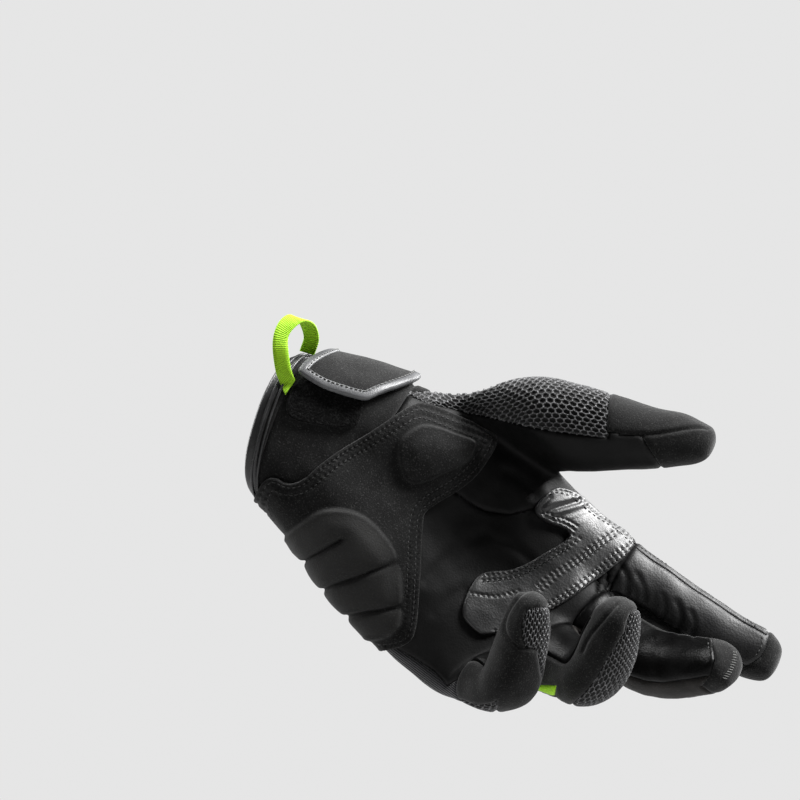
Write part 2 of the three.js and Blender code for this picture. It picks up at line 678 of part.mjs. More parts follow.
function strapPlace(u, v) {
  const { angle: step, near, far } = STRAP_STEPS[u];
  const angle = step - TAB_RUNS_ON[v] * THREE.MathUtils.smoothstep(-step, TAB_FROM, TAB_TO);
  const at = THREE.MathUtils.lerp(near, far, STRAP_ACROSS[v]);
  const point = onBody(at, angle);
  const forward = onBody(at + TANGENT_ROWS, angle).sub(onBody(at - TANGENT_ROWS, angle));
  const round = onBody(at, angle + TANGENT_DEGREES).sub(onBody(at, angle - TANGENT_DEGREES));
  return seat(point, forward.cross(round).normalize());
}
const lastStep = STRAP_STEPS.length - 1;
const lastAcross = STRAP_ACROSS.length - 1;
const strap = band(lastStep, lastAcross, strapPlace,
  (u, v) => (u === 0 || v === 0 || v === lastAcross - 1 ? "strap_binding" : "strap"));
const LOW_BY = 60;
const FREE_FROM = 30;
const FREE_BY = 58;
const stepOf = new Map(strap.points.map((p, i) => [p, Math.floor(i / STRAP_ACROSS.length)]));

function strapLift(p) {
  const { angle } = STRAP_STEPS[stepOf.get(p)];
  const toBack = THREE.MathUtils.smoothstep(angle, 0, LOW_BY);
  const freed = THREE.MathUtils.smoothstep(-angle, FREE_FROM, FREE_BY);
  return THREE.MathUtils.lerp(STRAP_LIFT_FRONT, STRAP_LIFT_BACK, toBack) + STRAP_TAB_RISE * freed;
}
addMesh("strap", slab(strap, (f) => f.panel === "strap",
  (p) => strapLift(p) + STRAP_THICK, strapLift, STRAP_SEAM), SUEDE);
addMesh("strap_binding", slab(strap, (f) => f.panel === "strap_binding",
  (p) => strapLift(p) + STRAP_THICK + BINDING_PROUD, strapLift, STRAP_SEAM), PIPING);

// Ribbon loop for pulling the glove on: both feet on the cuff edge, standing up past the strap's corner.
const PULL_PATH = [
  { x: 7, y: -19, z: 17.5, seated: true }, { x: 6, y: -20, z: 21.5, seated: true },
  { x: 4.5, y: -24.5, z: 28 }, { x: 4, y: -25, z: 35.5 }, { x: 6, y: -23, z: 42 },
  { x: 10.5, y: -18, z: 45.5 }, { x: 15, y: -12, z: 43.5 }, { x: 17, y: -7.5, z: 37.5 },
  { x: 15, y: -5, z: 30, seated: true },
];
const PULL_ACROSS = new THREE.Vector3(0.95, 0, -0.3);

function pullPlace(u, v) {
  const { x, y, z, seated } = PULL_PATH[u];
  const point = new THREE.Vector3(x, y, z).addScaledVector(PULL_ACROSS, (v - 0.5) * LOOP_WIDTH);
  const outward = new THREE.Vector3(0, y, z).normalize();
  return seated ? seat(point, outward).addScaledVector(outward, LOOP_LIFT + LOOP_THICK) : point;
}
const ribbon = band(PULL_PATH.length - 1, 1, pullPlace, () => "pull_loop");
addMesh("pull_loop", slab(ribbon, () => true, () => LOOP_THICK / 2, () => -LOOP_THICK / 2, 0), LIME);

export default glove;
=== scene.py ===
# %% [markdown]
# # A sport glove, grown from one cage
#
# The left glove is shown worn, palm to the front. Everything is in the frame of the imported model: metres,
# +X from the wrist to the fingers, +Z up on the thumb's side, the palm towards -Y. The tables are in
# millimetres, as in the part's source, and become metres where a mesh is made. The real glove is cut from
# flat panels and sewn. Here one smooth skin is cut along its seams, so that neighbours always meet.

# %% Frame
import math

import bmesh
import bpy
import numpy as np
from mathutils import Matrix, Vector, noise
from mathutils.bvhtree import BVHTree
from mathutils.kdtree import KDTree


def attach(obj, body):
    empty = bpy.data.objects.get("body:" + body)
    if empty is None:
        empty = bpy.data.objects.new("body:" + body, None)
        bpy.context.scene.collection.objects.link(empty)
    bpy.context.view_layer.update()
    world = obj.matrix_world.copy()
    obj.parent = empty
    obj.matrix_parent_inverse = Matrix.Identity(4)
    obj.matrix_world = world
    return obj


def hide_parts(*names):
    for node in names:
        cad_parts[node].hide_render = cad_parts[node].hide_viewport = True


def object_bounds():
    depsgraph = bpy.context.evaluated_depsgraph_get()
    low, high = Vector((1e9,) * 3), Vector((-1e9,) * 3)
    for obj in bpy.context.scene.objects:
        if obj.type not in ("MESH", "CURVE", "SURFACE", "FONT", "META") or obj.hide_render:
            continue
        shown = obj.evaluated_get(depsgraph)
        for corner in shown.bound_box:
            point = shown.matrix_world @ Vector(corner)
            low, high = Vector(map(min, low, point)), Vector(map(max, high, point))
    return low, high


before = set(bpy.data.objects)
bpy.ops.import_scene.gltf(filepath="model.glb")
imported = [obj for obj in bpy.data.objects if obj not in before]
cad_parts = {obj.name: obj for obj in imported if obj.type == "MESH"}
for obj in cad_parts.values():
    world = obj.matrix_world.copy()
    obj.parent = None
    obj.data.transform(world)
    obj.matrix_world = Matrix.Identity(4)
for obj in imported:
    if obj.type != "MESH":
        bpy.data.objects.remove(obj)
cad_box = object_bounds()
MM = 0.001
box_corners = [[round(v, 4) for v in corner] for corner in cad_box]
print("frame:", len(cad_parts), "nodes, box", box_corners)

# %% [markdown]
# ## Camera, light and backdrop
#
# A long lens looks straight at the palm, so that near fingers don't look large. One pixel of the 800 pixel
# frame is 0.43 mm on the glove, and the frame's centre lies right of the wrist. The glove is black, so large
# soft lamps high at the right and behind draw its rims and creases. The backdrop is a flat pale floor under
# an even pale world.

# %% Camera
PIXEL = 0.43
FRAME_PIXELS = 800
CAMERA_AWAY = 2.6
FRAME_CENTRE = (55.0, 10.8)
SENSOR = 36.0

camera_data = bpy.data.cameras.new("camera")
camera_data.sensor_width = SENSOR
camera_data.lens = SENSOR * CAMERA_AWAY / (FRAME_PIXELS * PIXEL * MM)
camera_data.clip_end = 20
camera = bpy.data.objects.new("camera", camera_data)
camera.location = (FRAME_CENTRE[0] * MM, -CAMERA_AWAY, FRAME_CENTRE[1] * MM)
camera.rotation_euler = (math.pi / 2, 0, 0)
bpy.context.scene.collection.objects.link(camera)
bpy.context.scene.camera = camera
bpy.context.scene.view_settings.view_transform = "Standard"
print("lens", round(camera_data.lens), "mm")

# %% Lights
# name: where it stands, its size in metres and its power in watts
LIGHTS = {
    "key_top_right": {"at": (1.35, -0.12, 1.35), "size": 0.9, "power": 112},
    "top_left": {"at": (-0.7, 0.1, 1.5), "size": 0.8, "power": 40},
    "rim_back_right": {"at": (1.2, 1.1, 0.5), "size": 0.9, "power": 22},
    "rim_back_left": {"at": (-1.2, 1.0, 0.3), "size": 0.9, "power": 14},
    "low_front": {"at": (-0.5, -1.8, -0.1), "size": 1.4, "power": 0.8},
}
AIM = Vector((0.09, -0.01, -0.04))
for name, lamp in LIGHTS.items():
    data = bpy.data.lights.new(name, "AREA")
    data.size = lamp["size"]
    data.energy = lamp["power"]
    light = bpy.data.objects.new(name, data)
    light.location = lamp["at"]
    light.rotation_euler = (AIM - light.location).to_track_quat("-Z", "Y").to_euler()
    bpy.context.scene.collection.objects.link(light)
print(len(LIGHTS), "area lights")

# %% Studio
# The eye sees pale paper all round, but only a little of it lights the glove, the floor included.
PAPER = (0.79, 0.79, 0.79, 1)
DIM_PAPER = (0.3, 0.3, 0.3, 1)
WORLD_GLOW = 0.035
FLOOR_Z = -0.32
FLOOR_RADIUS = 2.1


def eye_or_light(tree, for_light, for_eye, surface):
    """The camera sees one shader, and every other ray meets the other one."""
    paths = tree.nodes.new("ShaderNodeLightPath")
    both = tree.nodes.new("ShaderNodeMixShader")
    tree.links.new(paths.outputs["Is Camera Ray"], both.inputs["Fac"])
    tree.links.new(for_light.outputs[0], both.inputs[1])
    tree.links.new(for_eye.outputs[0], both.inputs[2])
    tree.links.new(both.outputs["Shader"], surface)


world = bpy.data.worlds.new("studio")
world.use_nodes = True
nodes = world.node_tree.nodes
nodes["Background"].inputs["Color"].default_value = PAPER
glow = nodes.new("ShaderNodeBackground")
glow.inputs["Color"].default_value = PAPER
glow.inputs["Strength"].default_value = WORLD_GLOW
eye_or_light(world.node_tree, glow, nodes["Background"], nodes["World Output"].inputs["Surface"])
bpy.context.scene.world = world
print("world glow", WORLD_GLOW)

# %% Floor
disc = bmesh.new()
bmesh.ops.create_circle(disc, cap_ends=True, radius=FLOOR_RADIUS, segments=96)
bmesh.ops.translate(disc, vec=(AIM.x, 0, FLOOR_Z), verts=disc.verts)
mesh = bpy.data.meshes.new("floor")
disc.to_mesh(mesh)
disc.free()
floor = bpy.data.objects.new("floor", mesh)
bpy.context.scene.collection.objects.link(floor)
paper = bpy.data.materials.new("floor_paper")
paper.use_nodes = True
nodes = paper.node_tree.nodes
matt = nodes["Principled BSDF"]
matt.inputs["Base Color"].default_value = PAPER
matt.inputs["Roughness"].default_value = 1
matt.inputs["Specular IOR Level"].default_value = 0
dim = nodes.new("ShaderNodeBsdfDiffuse")
dim.inputs["Color"].default_value = DIM_PAPER
eye_or_light(paper.node_tree, dim, matt, nodes["Material Output"].inputs["Surface"])
mesh.materials.append(paper)
print("floor", round(FLOOR_RADIUS * 2, 1), "m across")

# %% [markdown]
# ## Materials
#
# Each material is a small node tree that reads Object coordinates, which are metres, or an attribute of the
# mesh. `grain` and `cells` make a texture at a size in millimetres, `ramp` maps a range of it to another,
# and `mix` blends two colours by it. A painted image could show the same, but noise has no seam and no end.

# %% Material helpers
class Paint:
    """A material's node tree, with short calls for the nodes used here."""

    def __init__(self, name, roughness, specular, sheen=0.0):
        self.material = bpy.data.materials.new(name)
        self.material.use_nodes = True
        self.tree = self.material.node_tree
        self.shader = self.tree.nodes["Principled BSDF"]
        self.shader.inputs["Roughness"].default_value = roughness
        self.shader.inputs["Specular IOR Level"].default_value = specular
        self.shader.inputs["Sheen Weight"].default_value = sheen
        self.shader.inputs["Sheen Roughness"].default_value = 0.5
        self.place = self.tree.nodes.new("ShaderNodeTexCoord").outputs["Object"]

    def link(self, source, target):
        self.tree.links.new(source, target)

    def turned(self, degrees):
        node = self.tree.nodes.new("ShaderNodeMapping")
        node.inputs["Rotation"].default_value = [math.radians(d) for d in degrees]
        self.link(self.place, node.inputs["Vector"])
        return node.outputs["Vector"]

    def grain(self, size_mm, detail):
        node = self.tree.nodes.new("ShaderNodeTexNoise")
        node.inputs["Scale"].default_value = 1000 / size_mm
        node.inputs["Detail"].default_value = detail
        self.link(self.place, node.inputs["Vector"])
        return node.outputs["Fac"]

    def cells(self, size_mm):
        node = self.tree.nodes.new("ShaderNodeTexVoronoi")
        node.inputs["Scale"].default_value = 1000 / size_mm
        self.link(self.place, node.inputs["Vector"])
        return node.outputs["Distance"]

    def waves(self, rib_mm, where, axis):
        """Ribs of this width with grooves as wide. A band texture turns 20 radians a unit."""
        node = self.tree.nodes.new("ShaderNodeTexWave")
        node.bands_direction = axis
        node.inputs["Scale"].default_value = 1000 / rib_mm / 20 * math.pi
        self.link(where, node.inputs["Vector"])
        return node.outputs["Fac"]

    def attribute(self, name):
        node = self.tree.nodes.new("ShaderNodeAttribute")
        node.attribute_name = name
        return node.outputs["Fac"]

    def ramp(self, value, low, high, dark, light):
        node = self.tree.nodes.new("ShaderNodeMapRange")
        node.interpolation_type = "SMOOTHSTEP"
        node.inputs["From Min"].default_value = low
        node.inputs["From Max"].default_value = high
        node.inputs["To Min"].default_value = dark
        node.inputs["To Max"].default_value = light
        self.link(value, node.inputs["Value"])
        return node.outputs["Result"]

    def mix(self, factor, first, second):
        node = self.tree.nodes.new("ShaderNodeMix")
        node.data_type = "RGBA"
        for socket, value in (("Factor", factor), ("A", first), ("B", second)):
            target = [i for i in node.inputs if i.name == socket and i.enabled][0]
            if isinstance(value, (tuple, list)):
                target.default_value = (*value, 1)
            else:
                self.link(value, target)
        return [o for o in node.outputs if o.enabled][0]

    def bump(self, height, distance_mm, strength):
        """Adds a bump. A second one is laid over the first."""
        node = self.tree.nodes.new("ShaderNodeBump")
        node.inputs["Strength"].default_value = strength
        node.inputs["Distance"].default_value = distance_mm * MM
        self.link(height, node.inputs["Height"])
        if self.shader.inputs["Normal"].is_linked:
            self.link(self.shader.inputs["Normal"].links[0].from_socket, node.inputs["Normal"])
        self.link(node.outputs["Normal"], self.shader.inputs["Normal"])

    def colour(self, socket):
        self.link(socket, self.shader.inputs["Base Color"])

    def rough(self, socket):
        self.link(socket, self.shader.inputs["Roughness"])


def grey(level):
    return (level, level, level)


print("paint box ready")

# %% [markdown]
# ## Suede and leather
#
# Suede is the rough side of the hide: matt, with a nap that lies dark or light, and pale specks of dust. On
# the heel pad it is painted lighter the higher the pad rises: a painted highlight where the lamps catch it.
# Leather is its smooth side: a fine grain of cells under a soft sheen. Both need only colour and bump,
# because the forms themselves are modelled.

# %% Hides
def make_suede(name, dark, light, fleck, painted_pad_highlight=None):
    paint = Paint(name, 0.95, specular=0.18, sheen=0.12)
    nap = paint.mix(paint.ramp(paint.grain(9, 4), 0.35, 0.7, 0, 1), dark, light)
    # A lighter tone mixed in by an attribute: a painted highlight on the raised pads.
    if painted_pad_highlight:
        nap = paint.mix(paint.attribute("painted_pad_highlight"), nap, painted_pad_highlight)
    specks = paint.ramp(paint.grain(0.6, 3), 0.54, 0.72, 0, 1)
    paint.colour(paint.mix(specks, nap, fleck))
    paint.bump(paint.grain(0.7, 3), 0.25, 0.8)
    return paint.material


def make_leather(name, dark, light, roughness, grain=0.9, gloss=0.5):
    paint = Paint(name, roughness, specular=gloss)
    paint.colour(paint.mix(paint.ramp(paint.grain(14, 4), 0.35, 0.7, 0, 1), dark, light))
    paint.rough(paint.ramp(paint.grain(7, 3), 0.3, 0.75, roughness - 0.03, roughness + 0.07))
    paint.bump(paint.cells(grain), 0.12, 0.55)
    paint.bump(paint.grain(2.2, 3), 0.14, 0.4)
    return paint.material


print("hides can be made")

# %% [markdown]
# ## Cloths, ribbon and thread
#
# The air mesh, the ribbon and the knit are woven or knitted. The mesh's holes and the ribbon's ribs are
# modelled. An attribute paints the holes near black, for the lining seen through them and painted shade
# inside them, and the ribbon's grooves darker in painted shade, so that tone and form agree. The knit's ribs
# are too
# fine to model: a band texture draws them, with painted shade in their grooves. The loop pile is a mass of
# tiny loops, which noise shows well.

# %% Cloths
def make_mesh_cloth():
    paint = Paint("air_mesh_cloth", 0.75, specular=0.3, sheen=0.1)
    fibres = paint.ramp(paint.grain(0.6, 2), 0.4, 0.65, 0, 1)
    threads = paint.mix(fibres, (0.045, 0.045, 0.046), (0.2, 0.2, 0.205))
    # The holes get a near black colour, darker than the lining: the lining seen through them and painted
    # shade.
    paint.colour(paint.mix(paint.attribute("hole"), threads, grey(0.002)))
    paint.bump(paint.grain(0.45, 2), 0.12, 0.7)
    return paint.material


def make_knit():
    paint = Paint("rib_knit", 0.9, specular=0.2, sheen=0.15)
    ribs = paint.waves(0.42, paint.turned((0, -36, 0)), "Z")
    # The grooves between the ribs are painted darker and the ribs' tops lighter: painted shade and painted
    # highlight of the ribs' relief.
    paint.colour(paint.mix(ribs, (0.014, 0.014, 0.015), (0.06, 0.061, 0.064)))
    paint.bump(ribs, 0.4, 0.9)
    paint.bump(paint.grain(0.5, 2), 0.15, 0.6)
    return paint.material


def make_fuzz():
    paint = Paint("loop_pile", 1.0, specular=0.08, sheen=0.04)
    loops = paint.ramp(paint.grain(0.8, 4), 0.45, 0.7, 0, 1)
    paint.colour(paint.mix(loops, grey(0.003), grey(0.016)))
    paint.bump(paint.grain(0.6, 4), 0.9, 1.0)
    return paint.material


def make_ribbon(name, dark, light):
    paint = Paint(name, 0.7, specular=0.3, sheen=0.1)
    # The rib attribute paints the grooves darker than the ribs' tops: painted shade of the modelled ribs.
    paint.colour(paint.mix(paint.attribute("rib"), dark, light))
    paint.bump(paint.grain(0.35, 2), 0.1, 0.5)
    return paint.material


def make_stretch():
    paint = Paint("lime_stretch_cloth", 0.8, specular=0.25, sheen=0.1)
    weave = paint.cells(0.7)
    paint.colour(paint.mix(weave, (0.42, 0.78, 0.015), (0.25, 0.5, 0.008)))
    paint.bump(weave, 0.25, 0.8)
    return paint.material


def make_thread(name, colour):
    paint = Paint(name, 0.6, specular=0.4)
    twist = paint.ramp(paint.grain(0.3, 1), 0.4, 0.6, 0, 1)
    paint.colour(paint.mix(twist, tuple(0.5 * c for c in colour), colour))
    return paint.material


print("cloths can be made")

# %% Materials
MATERIALS = {
    "suede": make_suede("charcoal_suede", grey(0.005), grey(0.0095), (0.034, 0.034, 0.033)),
    # The dark suede's lighter tone is a painted highlight on the heel pad's tops.
    "dark_suede": make_suede("dark_suede", grey(0.0034), grey(0.0078), (0.036, 0.036, 0.035),
                             painted_pad_highlight=(0.03, 0.0296, 0.029)),
    "brown_suede": make_suede("side_suede", (0.008, 0.007, 0.0062), (0.014, 0.0122, 0.0108),
                              (0.035, 0.031, 0.028)),
    "leather": make_leather("palm_leather_grain", grey(0.0025), grey(0.005), 0.6, gloss=0.2),
    "shiny": make_leather("shiny_leather_grain", (0.004, 0.004, 0.0042), (0.008, 0.008, 0.0084), 0.47,
                          gloss=0.36),
    "dark_leather": make_leather("finger_leather_grain", grey(0.0012), grey(0.0026), 0.38, gloss=0.12),
    "patch_leather": make_leather("patch_leather_grain", (0.006, 0.006, 0.0062), (0.011, 0.011, 0.0114), 0.44,
                                  gloss=0.78),
    "piping": make_leather("binding_tape", (0.014, 0.014, 0.0145), (0.035, 0.035, 0.036), 0.36, grain=0.6),
    # The strap's tape is painted several times lighter than the cuff's tape: a painted highlight along its
    # fold.
    "strap_tape_painted_highlight": make_leather("strap_tape_painted_highlight", (0.07, 0.071, 0.074), (0.11, 0.112, 0.116), 0.42, grain=0.6,
                               gloss=0.6),
    "lining": make_leather("dark_lining", grey(0.004), grey(0.008), 0.9),
    "mesh": make_mesh_cloth(),
    "knit": make_knit(),
    "fuzz": make_fuzz(),
    "lime_ribbon": make_ribbon("lime_grosgrain", (0.2, 0.42, 0.008), (0.4, 0.74, 0.014)),
    "lime": make_stretch(),
    "thread": make_thread("dark_thread", grey(0.024)),
    "pale_thread": make_thread("pale_thread", (0.16, 0.16, 0.155)),
}
print(len(MATERIALS), "materials")

# %% [markdown]
# ## The cage
#
# The hand is eight sections of twenty points. Each finger is a sleeve of eight points a section, and the
# thumb grows out of a hole in the thumb edge. These are the part's own tables. A cage of few points is easy
# to pose, and the skin that a Subdivision Surface draws over it is smooth across every panel.

# %% Tables
BODY_COLUMNS = ("x", "y", "z", "turn", "roll", "wide", "palm", "back", "thenar", "heel", "hollow", "bow")
BODY_ROWS = {
    "cuff edge": (3, 0, -1, 18, 4, 31.5, 24, 23, 0, 0, 0, 10),
    "binding": (7, 0, -2, 20, 4, 33, 24, 23, 0, 0, 0, 10),
    "strap": (22, 0, -8.5, 26.5, 8, 39, 23, 21.5, 1, 1, 0, 3),
    "heel": (39, -1, -20, 32, 12, 45, 21, 20, 5, 3, 2, 0),
    "thumb root": (52, -2, -31, 35, 15, 49.5, 19, 19, 7, 4, 4, 0),
    "thumb middle": (67, -3, -44, 39, 17, 51.5, 17, 18, 5, 3, 4, 0),
    "thumb web": (84, -3, -58, 40, 19, 53, 16, 17, 2, 2, 3, 0),
    "knuckles": (105, -3, -76, 39, 22, 52.5, 15, 15, 0, 0, 0, 0),
}
BODY = [dict(zip(BODY_COLUMNS, row)) for row in BODY_ROWS.values()]
ACROSS = (0.93, 0.74, 0.5, 0.25, 0, -0.25, -0.5, -0.74, -0.93)
CUFF_TO, HOLE_FROM, HOLE_TO = 3, 4, 6

# across: the way from the little-finger side to the thumb side. Rows: x, y, z, half width, half depth.
FINGERS = {
    "index": {"across": (0.49, 0.24, 0.84), "tip_from": 4, "rows": (
        (150, 12, -65, 14.5, 13), (166, 11, -74.5, 13.6, 13), (182, 9.5, -84.5, 13, 12.4),
        (197, 7.5, -93.5, 12.2, 11.2), (209, 5, -99.5, 11, 9.8), (218, 3, -104, 7.8, 6.8))},
    "middle": {"across": (0.59, 0.48, 0.65), "tip_from": 5, "rows": (
        (136, -1, -83, 14, 13), (148, -5, -93, 13.6, 13), (160, -10, -100.5, 13.6, 13.2),
        (171, -19, -102.5, 13.2, 12.4), (180, -30, -102.5, 12.6, 11.6), (189, -40, -102, 12, 10.8),
        (195.5, -48.5, -101, 8.6, 7.6))},
    "ring": {"across": (0.69, 0.66, 0.3), "tip_from": 5, "rows": (
        (118, -16, -97, 13.6, 12.6), (128, -26, -104, 13.4, 12.6), (134.5, -36, -107, 13.2, 12.6),
        (139.5, -45, -102, 13, 12.2), (143, -52, -92.5, 12.8, 11.8), (146, -58.5, -82, 11.2, 10.4),
        (148.5, -62, -73, 7.2, 6.6))},
    "little": {"across": (0.76, 0.65, -0.02), "tip_from": 5, "rows": (
        (90, -28, -106, 12.4, 12.4), (97, -38, -110.5, 12.4, 12.2), (101.5, -46, -109, 12.2, 12),
        (104, -50.5, -100.5, 12, 11.6), (106.5, -54, -90.5, 11.2, 10.6), (109, -57, -79.5, 9.4, 9),
        (110, -59.5, -69, 6.2, 6))},
}
THUMB = {"across": (0, -1, 0), "rows": (
    (109, -13, 0.5, 16.5, 22), (126, -17, 0, 15.5, 19), (144, -19, -3, 14.5, 15.8),
    (162, -21, -4.5, 13.8, 13.8), (180, -22.5, -6, 12.4, 10.8), (191, -23, -7.5, 8.4, 7))}
THUMB_LEANS = {0: (0.84, 0, 0.54), 1: (0.98, 0, 0.2)}
THUMB_TIP_BACK, THUMB_TIP_FRONT = 3, 4
RING_SWELL, CORNER = 1.1, 0.76
OCTAGON = ((1, 0), (CORNER, CORNER), (0, 1), (-CORNER, CORNER),
           (-1, 0), (-CORNER, -CORNER), (0, -1), (CORNER, -CORNER))
# A hand section's corners run from the thumb edge, 0, over the back to the little-finger edge and home
# over the palm. A sleeve's corners are the octagon's.
AROUND, LITTLE_EDGE, SLEEVE_AROUND = 20, 10, len(OCTAGON)
print(len(BODY), "hand sections,", len(FINGERS), "fingers")

# %% Sections
# q runs across a section from -1 at the little finger to 1 at the thumb. A section's rim follows a
# superellipse with these two powers.
RIM_ACROSS, RIM_DEEP = 2.5, 2.3
THENAR_AT, HEEL_AT, MOUND_REACH = 0.55, -0.55, 0.4
HOLLOW_AT, HOLLOW_REACH = -0.02, 0.3


def bump_at(q, at, reach):
    return math.exp(-(((q - at) / reach) ** 2))


def body_point(row, q, face):
    turn, roll = math.radians(row["turn"]), math.radians(row["roll"])
    across = Vector((math.sin(turn) * math.cos(roll), math.sin(roll), math.cos(turn) * math.cos(roll)))
    along = Vector((math.cos(turn), 0, -math.sin(turn)))
    backward = across.cross(along)
    rim = max(0, 1 - abs(q) ** RIM_ACROSS) ** (1 / RIM_DEEP)
    depth = row["back"] * rim if face > 0 else 0
    if face < 0:
        mounds = row["thenar"] * bump_at(q, THENAR_AT, MOUND_REACH)
        mounds += row["heel"] * bump_at(q, HEEL_AT, MOUND_REACH)
        depth = -(row["palm"] * rim + mounds * rim - row["hollow"] * bump_at(q, HOLLOW_AT, HOLLOW_REACH))
    back_run = -row["bow"] * rim if face < 0 else 0
    centre = Vector((row["x"], row["y"], row["z"]))
    return centre + across * (q * row["wide"] / math.cos(roll)) + along * back_run + backward * depth


def body_ring(row):
    back = [body_point(row, q, 1) for q in ACROSS]
    palm = [body_point(row, q, -1) for q in reversed(ACROSS)]
    return [body_point(row, 1, 0)] + back + [body_point(row, -1, 0)] + palm


def sleeve_rings(finger, leans=None):
    centres = [Vector(row[:3]) for row in finger["rows"]]
    rings = []
    for i, (_, _, _, side_half, deep_half) in enumerate(finger["rows"]):
        along = centres[min(i + 1, len(centres) - 1)] - centres[max(i - 1, 0)]
        if leans and i in leans:
            along = Vector(leans[i])
        along.normalize()
        across = Vector(finger["across"])
        across = (across - along * across.dot(along)).normalized()
        backward = across.cross(along)
        side_swell, deep_swell = side_half * RING_SWELL, deep_half * RING_SWELL
        rings.append([centres[i] + across * (s * side_swell) + backward * (d * deep_swell)
                      for s, d in OCTAGON])
    return rings


print("hand section at the knuckles:", round(2 * BODY[-1]["wide"]), "mm wide")

# %% [markdown]
# ## Which face belongs to which panel
#
# A glove's looks change at its seams. Every face of the cage gets a panel's number as its material index,
# and the Subdivision Surface hands the number on, so that the smooth skin can be taken apart at the seams.

# %% Panels
PANELS = [
    "cuff_binding", "cuff_palm", "cuff_back", "palm_leather", "hand_back", "wrist_gusset",
    "thumb_leather", "thumb_mesh", "thumb_tip", "side_index", "side_little",
    "fourchette_index_middle", "fourchette_middle_ring", "fourchette_ring_little",
    "ring_side", "little_side",
] + [f"{finger}_{part}" for finger in FINGERS for part in ("palm", "back", "tip")]
SIDES = {
    "index": ("side_index", "fourchette_index_middle"),
    "middle": ("fourchette_index_middle", "fourchette_middle_ring"),
    "ring": ("fourchette_middle_ring", "fourchette_ring_little"),
    "little": ("fourchette_ring_little", "side_little"),
}


def body_panel(j, k):
    """The panel at section j, counted from the cuff, and corner k, counted from the thumb edge."""
    if j == 0:
        return "cuff_binding"
    if CUFF_TO <= j < HOLE_FROM and k == AROUND - 1:
        return "thumb_mesh"
    if CUFF_TO <= j < HOLE_FROM and k <= 1:
        return "wrist_gusset"
    if HOLE_FROM <= j < HOLE_TO and k >= 16:
        return "thumb_leather"
    if j < CUFF_TO:
        return "cuff_palm" if k >= LITTLE_EDGE else "cuff_back"
    return "palm_leather" if k >= LITTLE_EDGE else "hand_back"


def finger_panel(name, tip_from, i, c):
    """Corners 1 and 2 of a sleeve lie on its back, 5 and 6 on its palm side."""
    if i >= tip_from:
        return name + "_tip"
    if c in (1, 2):
        return name + "_back"
    if c in (5, 6):
        return name + "_palm"
    return SIDES[name][0 if c in (7, 0) else 1]


def thumb_panel(i, c):
    """The first half of the corners lies on the thumb's back."""
    if c < SLEEVE_AROUND / 2:
        return "thumb_tip" if i >= THUMB_TIP_BACK else "thumb_mesh"
    return "thumb_tip" if i >= THUMB_TIP_FRONT else "thumb_leather"


print(len(PANELS), "panels")

# %% [markdown]
# ## Hand, fingers and thumb in one cage
#
# The hand's sections are joined face by face. Neighbouring fingers share the points of the web between
# them, and the thumb's first section is the rim of the hole left for it, so that the cage is one closed
# surface, open at the wrist alone. Separate tubes would leave a crease where they run into each other.

# %% Cage of the hand
cage = bmesh.new()


def cage_face(panel, *corners):
    face = cage.faces.new(corners)
    face.material_index = PANELS.index(panel)


def sleeve(rings, panel_of):
    for i in range(len(rings) - 1):
        for c in range(SLEEVE_AROUND):
            n = (c + 1) % SLEEVE_AROUND
            cage_face(panel_of(i, c), rings[i][c], rings[i + 1][c], rings[i + 1][n], rings[i][n])
    cage_face(panel_of(len(rings) - 1, 0), *reversed(rings[-1]))


body = [[cage.verts.new(p * MM) for p in body_ring(row)] for row in BODY]
for j in range(len(BODY) - 1):
    for k in range(AROUND):
        if HOLE_FROM <= j < HOLE_TO and k in (AROUND - 1, 0):
            continue
        n = (k + 1) % AROUND
        cage_face(body_panel(j, k), body[j][k], body[j + 1][k], body[j + 1][n], body[j][n])
print("hand:", len(cage.faces), "faces")

# %% Fingers
places = [sleeve_rings(finger) for finger in FINGERS.values()]
# Corner of a finger's first section: the corner of the finger before it that is the same point
SHARED = {1: 3, 0: 4, 7: 5}
webs = []
for f, rings in enumerate(places):
    first = []
    for c in range(SLEEVE_AROUND):
        if f > 0 and c in SHARED:
            first.append(webs[-1][0][SHARED[c]])
            continue
        point = rings[0][c].copy()
        mine = [m for m, theirs in SHARED.items() if theirs == c]
        if f < len(places) - 1 and mine:
            point = (point + places[f + 1][0][mine[0]]) / 2
        first.append(cage.verts.new(point * MM))
    webs.append([first] + [[cage.verts.new(p * MM) for p in ring] for ring in rings[1:]])

web_ring = [webs[0][0][0]]
for rings in webs:
    web_ring += [rings[0][1], rings[0][2]]
web_ring += [webs[3][0][3], webs[3][0][4], webs[3][0][5]]
for rings in reversed(webs):
    web_ring += [rings[0][6], rings[0][7]]
for k in range(AROUND):
    n = (k + 1) % AROUND
    side = "palm_leather" if k >= LITTLE_EDGE else "hand_back"
    cage_face(side, body[-1][k], web_ring[k], web_ring[n], body[-1][n])
for (name, finger), rings in zip(FINGERS.items(), webs):
    sleeve(rings, lambda i, c: finger_panel(name, finger["tip_from"], i, c))
print("with fingers:", len(cage.faces), "faces")

# %% Thumb
h0, h1, h2 = body[HOLE_FROM], body[HOLE_FROM + 1], body[HOLE_TO]
thumb_rings = [[h1[-1], h0[-1], h0[0], h0[1], h1[1], h2[1], h2[0], h2[-1]]]
thumb_rings += [[cage.verts.new(p * MM) for p in ring] for ring in sleeve_rings(THUMB, THUMB_LEANS)]
sleeve(thumb_rings, thumb_panel)
# The leather between thumb and forefinger is drawn out a little: the pull is strongest at one point.
WEB_PULL_AT, WEB_PULL_REACH, WEB_PULL_SHIFT = Vector((120, 0, -18)), 16, Vector((7, 0, -2.5))
for v in cage.verts:
    v.co += WEB_PULL_SHIFT * MM * math.exp(-((v.co / MM - WEB_PULL_AT).length / WEB_PULL_REACH) ** 2)
print("cage:", len(cage.verts), "points,", len(cage.faces), "faces")

